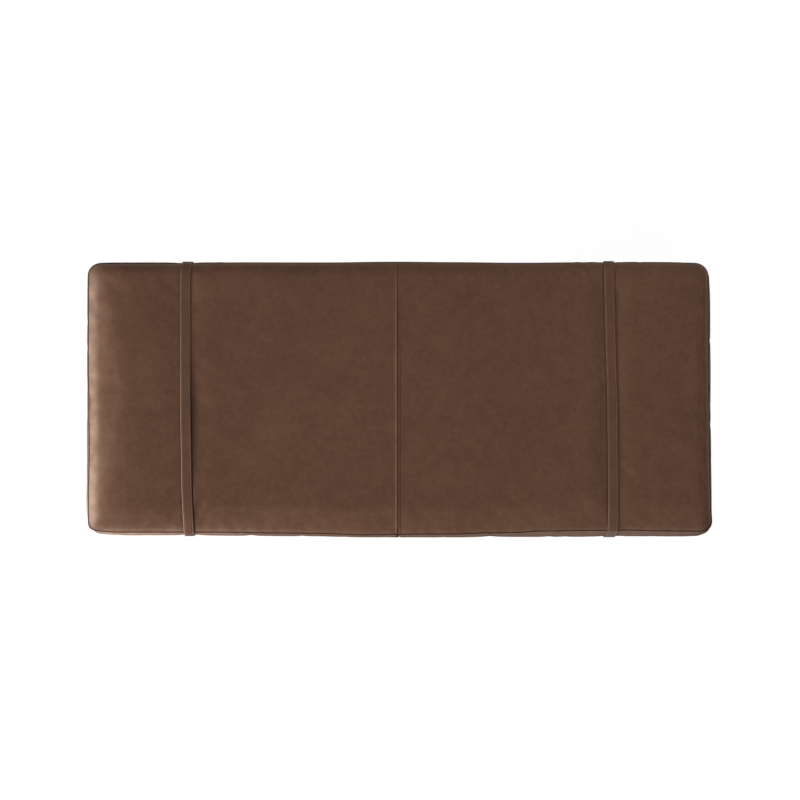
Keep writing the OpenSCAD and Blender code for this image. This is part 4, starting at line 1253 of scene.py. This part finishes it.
def strap_stitches(side, name):
    """Thread stitches in the grooves along both edges of a strap."""
    path, out, thick, run = strap_frame(side)
    places = np.arange(FOLD_L + 30 * MM, run[-1] - TAIL_TIP, STITCH_PITCH)
    share, size = np.array(STITCH_SHAPE).T[..., None]
    a = np.linspace(0, 2 * math.pi, STITCH_SIDES, endpoint=False)
    at = places[:, None, None] + share * STITCH_L
    y, z, out_y, out_z, top = (np.interp(at, run, values) for values in (*path.T, *out.T, thick))
    lift = top - 0.15 * MM - 1.4 * STITCH_R * (2 * share) ** 4 + size * STITCH_R * np.sin(a)
    x = strap_middle(side, y, z) + size * STITCH_R * np.cos(a)
    stitches = np.concatenate([np.stack([x + edge * (STRAP_W / 2 - STITCH_IN), y + out_y * lift,
                                         z + out_z * lift], 3) for edge in (-1, 1)])
    points, faces = joined(stitches, [1] * len(stitches), close_cols=True)
    faces = faces.tolist()
    for start in range(0, len(points), len(STITCH_SHAPE) * STITCH_SIDES):
        last = start + (len(STITCH_SHAPE) - 1) * STITCH_SIDES
        faces += [list(range(start, start + STITCH_SIDES))[::-1], list(range(last, last + STITCH_SIDES))]
    place(make_mesh(name, points, faces, THREAD), "strap_leather")


def rounded_box(half_w, half_h, r, count):
    """Points round a box with rounded corners."""
    corners = ((1, 1, 0), (-1, 1, 90), (-1, -1, 180), (1, -1, 270))
    return np.concatenate([arc(sx * (half_w - r), sz * (half_h - r), r, start, start + 90, count)
                           for sx, sz, start in corners])


def keeper_loop(side, name, node):
    """The leather loop that holds the tail, bent round with soft corners."""
    size, centre = (KEEPER_HIGH - KEEPER_LOW) / 2, (KEEPER_HIGH + KEEPER_LOW) / 2
    line = rounded_box(size.x - KEEPER_HALF_T, size.z - KEEPER_HALF_T, KEEPER_BEND_R, 7)
    ahead = np.roll(line, -1, 0) - np.roll(line, 1, 0)
    normal = np.stack([ahead[:, 1], -ahead[:, 0]], 1) / np.hypot(*ahead.T)[:, None]
    section = rounded_box(size.y, KEEPER_HALF_T, KEEPER_EDGE_R, 3)
    x = side * STRAP_X + line[:, 0, None] + normal[:, 0, None] * section[:, 1]
    z = centre.z + line[:, 1, None] + normal[:, 1, None] * section[:, 1]
    grid = np.stack([x, np.broadcast_to(centre.y + section[:, 0], x.shape), z], 2)
    obj = make_sheet(name, grid, STRAP_LEATHER, flip=True, close_rows=True, close_cols=True)
    add_values(obj, "edge", np.tile(smooth(size.y - MM, size.y, np.abs(section[:, 0])), len(line)))
    add_values(obj, "crease", np.zeros(x.size))
    place(obj, "strap_leather", node)


for side, word in ((-1, "left"), (1, "right")):
    strap(side, "strap_leather_" + word, "strap_" + word)
    strap_stitches(side, "strap_stitches_" + word)
    keeper_loop(side, "keeper_loop_" + word, "keeper_" + word)

# Wooden frame and metal parts, which keep their solids


def soften_edges(obj, width):
    """Rounds the sharp edges of a solid a little."""
    weld = obj.modifiers.new("weld", "WELD")
    weld.merge_threshold = 0.002 * MM
    bevel = obj.modifiers.new("bevel", "BEVEL")
    bevel.width, bevel.segments = width, 2
    bevel.limit_method, bevel.angle_limit = "ANGLE", math.radians(40)
    bevel.use_clamp_overlap = True


def dress(names, material, rounding=0.0):
    """Gives CAD pieces a material, and rounds their edges."""
    for name in names:
        obj = bpy.data.objects[name]
        for material_slot in obj.material_slots:
            material_slot.material = material
        if rounding:
            soften_edges(obj, rounding)


def of_each_leg(word):
    """The names of the four pieces of a kind, one at each leg."""
    return [f"{word}_{a}_{b}" for a in ("front", "back") for b in ("left", "right")]


for names, material, rounding in (
        (of_each_leg("leg"), dark_wood("Z"), 0.8),
        (["rail_front", "rail_back"], dark_wood("X"), 0.6),
        (["rail_left", "rail_right"], dark_wood("Y"), 0.6),
        (["cleat_front", "cleat_back"] + of_each_leg("block"), plain_wood("X"), 0.5),
        (["bearer_left", "bearer_middle", "bearer_right"], plain_wood("Y"), 0.5),
        (["deck"], plywood(), 0.4),
        (["leg_bolts", "leg_washers", "leg_nuts"] + of_each_leg("foot_stem"), zinc_steel(), 0),
        (["block_screws", "cleat_screws", "bearer_screws", "deck_screws"], zinc_steel(), 0),
        (["foot_inserts"], brass(), 0),
        (of_each_leg("foot_pad"), nylon(), 0.8),
        (["zip_slider", "zip_pull"], antique("zip_metal", (0.20, 0.15, 0.09)), 0.25),
        (["buckle_left", "buckle_right", "prong_left", "prong_right", "strap_rivets"],
         antique("buckle_bronze", (0.16, 0.11, 0.065)), 0)):
    dress(names, material, rounding * MM)

# Camera, light and floor


def add_camera():
    """The camera looks down on the seat from far away and a little from the front."""
    data = bpy.data.cameras.new("camera")
    camera = bpy.data.objects.new("camera", data)
    bpy.context.scene.collection.objects.link(camera)
    bpy.context.scene.camera = camera
    back = Vector((0, -math.sin(CAMERA_TILT), math.cos(CAMERA_TILT)))
    camera.location = CAMERA_AIM + CAMERA_FAR * back
    camera.rotation_euler = (CAMERA_TILT, 0, 0)
    data.sensor_width = SENSOR_MM
    data.lens = SENSOR_MM * CAMERA_FAR / (PHOTO_PX * PX_M)
    data.clip_end = 100


def area_light(name, place, target, size, power, glossy):
    """A square lamp; one that isn't glossy leaves no reflection of itself."""
    data = bpy.data.lights.new(name, "AREA")
    data.shape, data.size, data.energy = "SQUARE", size, power
    lamp = bpy.data.objects.new(name, data)
    bpy.context.scene.collection.objects.link(lamp)
    lamp.location = place
    lamp.rotation_euler = (Vector(target) - Vector(place)).to_track_quat("-Z", "Y").to_euler()
    lamp.visible_glossy = glossy


def seen_directly(tree, low, high):
    """high for rays that show a thing straight or in shiny surfaces, and low for the others."""
    rays = add_node(tree, "LightPath").outputs
    total = rays["Is Camera Ray"]
    for other in ("Is Glossy Ray", "Is Transmission Ray"):
        total = add_node(tree, "Math", {0: total, 1: rays[other]}, operation="MAXIMUM").outputs[0]
    return add_node(tree, "MapRange", {"Value": total, "To Min": low, "To Max": high}).outputs[0]


def studio_world():
    """A white background that lights the bench less than it looks."""
    world = bpy.data.worlds.new("studio")
    bpy.context.scene.world = world
    world.use_nodes = True
    background = world.node_tree.nodes["Background"]
    background.inputs["Color"].default_value = (1, 1, 1, 1)
    world.node_tree.links.new(seen_directly(world.node_tree, *SKY_GLOW), background.inputs["Strength"])


def studio_floor():
    """A pale floor that the camera sees as white, but for a trace of the object's shadow."""
    f = Finish("floor", Base_Color=(0.86, 0.86, 0.86, 1), Roughness=0.8)
    glow = f.add("Emission").outputs[0]
    mix = f.add("MixShader", {0: seen_directly(f.tree, *FLOOR_GLOW), 1: f.shader.outputs[0], 2: glow})
    f.tree.links.new(mix.outputs[0], f.tree.nodes["Material Output"].inputs["Surface"])
    at = np.linspace(-FLOOR_HALF, FLOOR_HALF, 9)
    x, y = lattice(at, at)
    make_sheet("floor", np.stack([x, y, np.full(x.shape, -FLOOR_DROP)], 2), f.material)


add_camera()
for name, values in LAMPS.items():
    area_light(name, *values)
studio_world()
studio_floor()

# View

bpy.context.scene.view_settings.view_transform = "Standard"
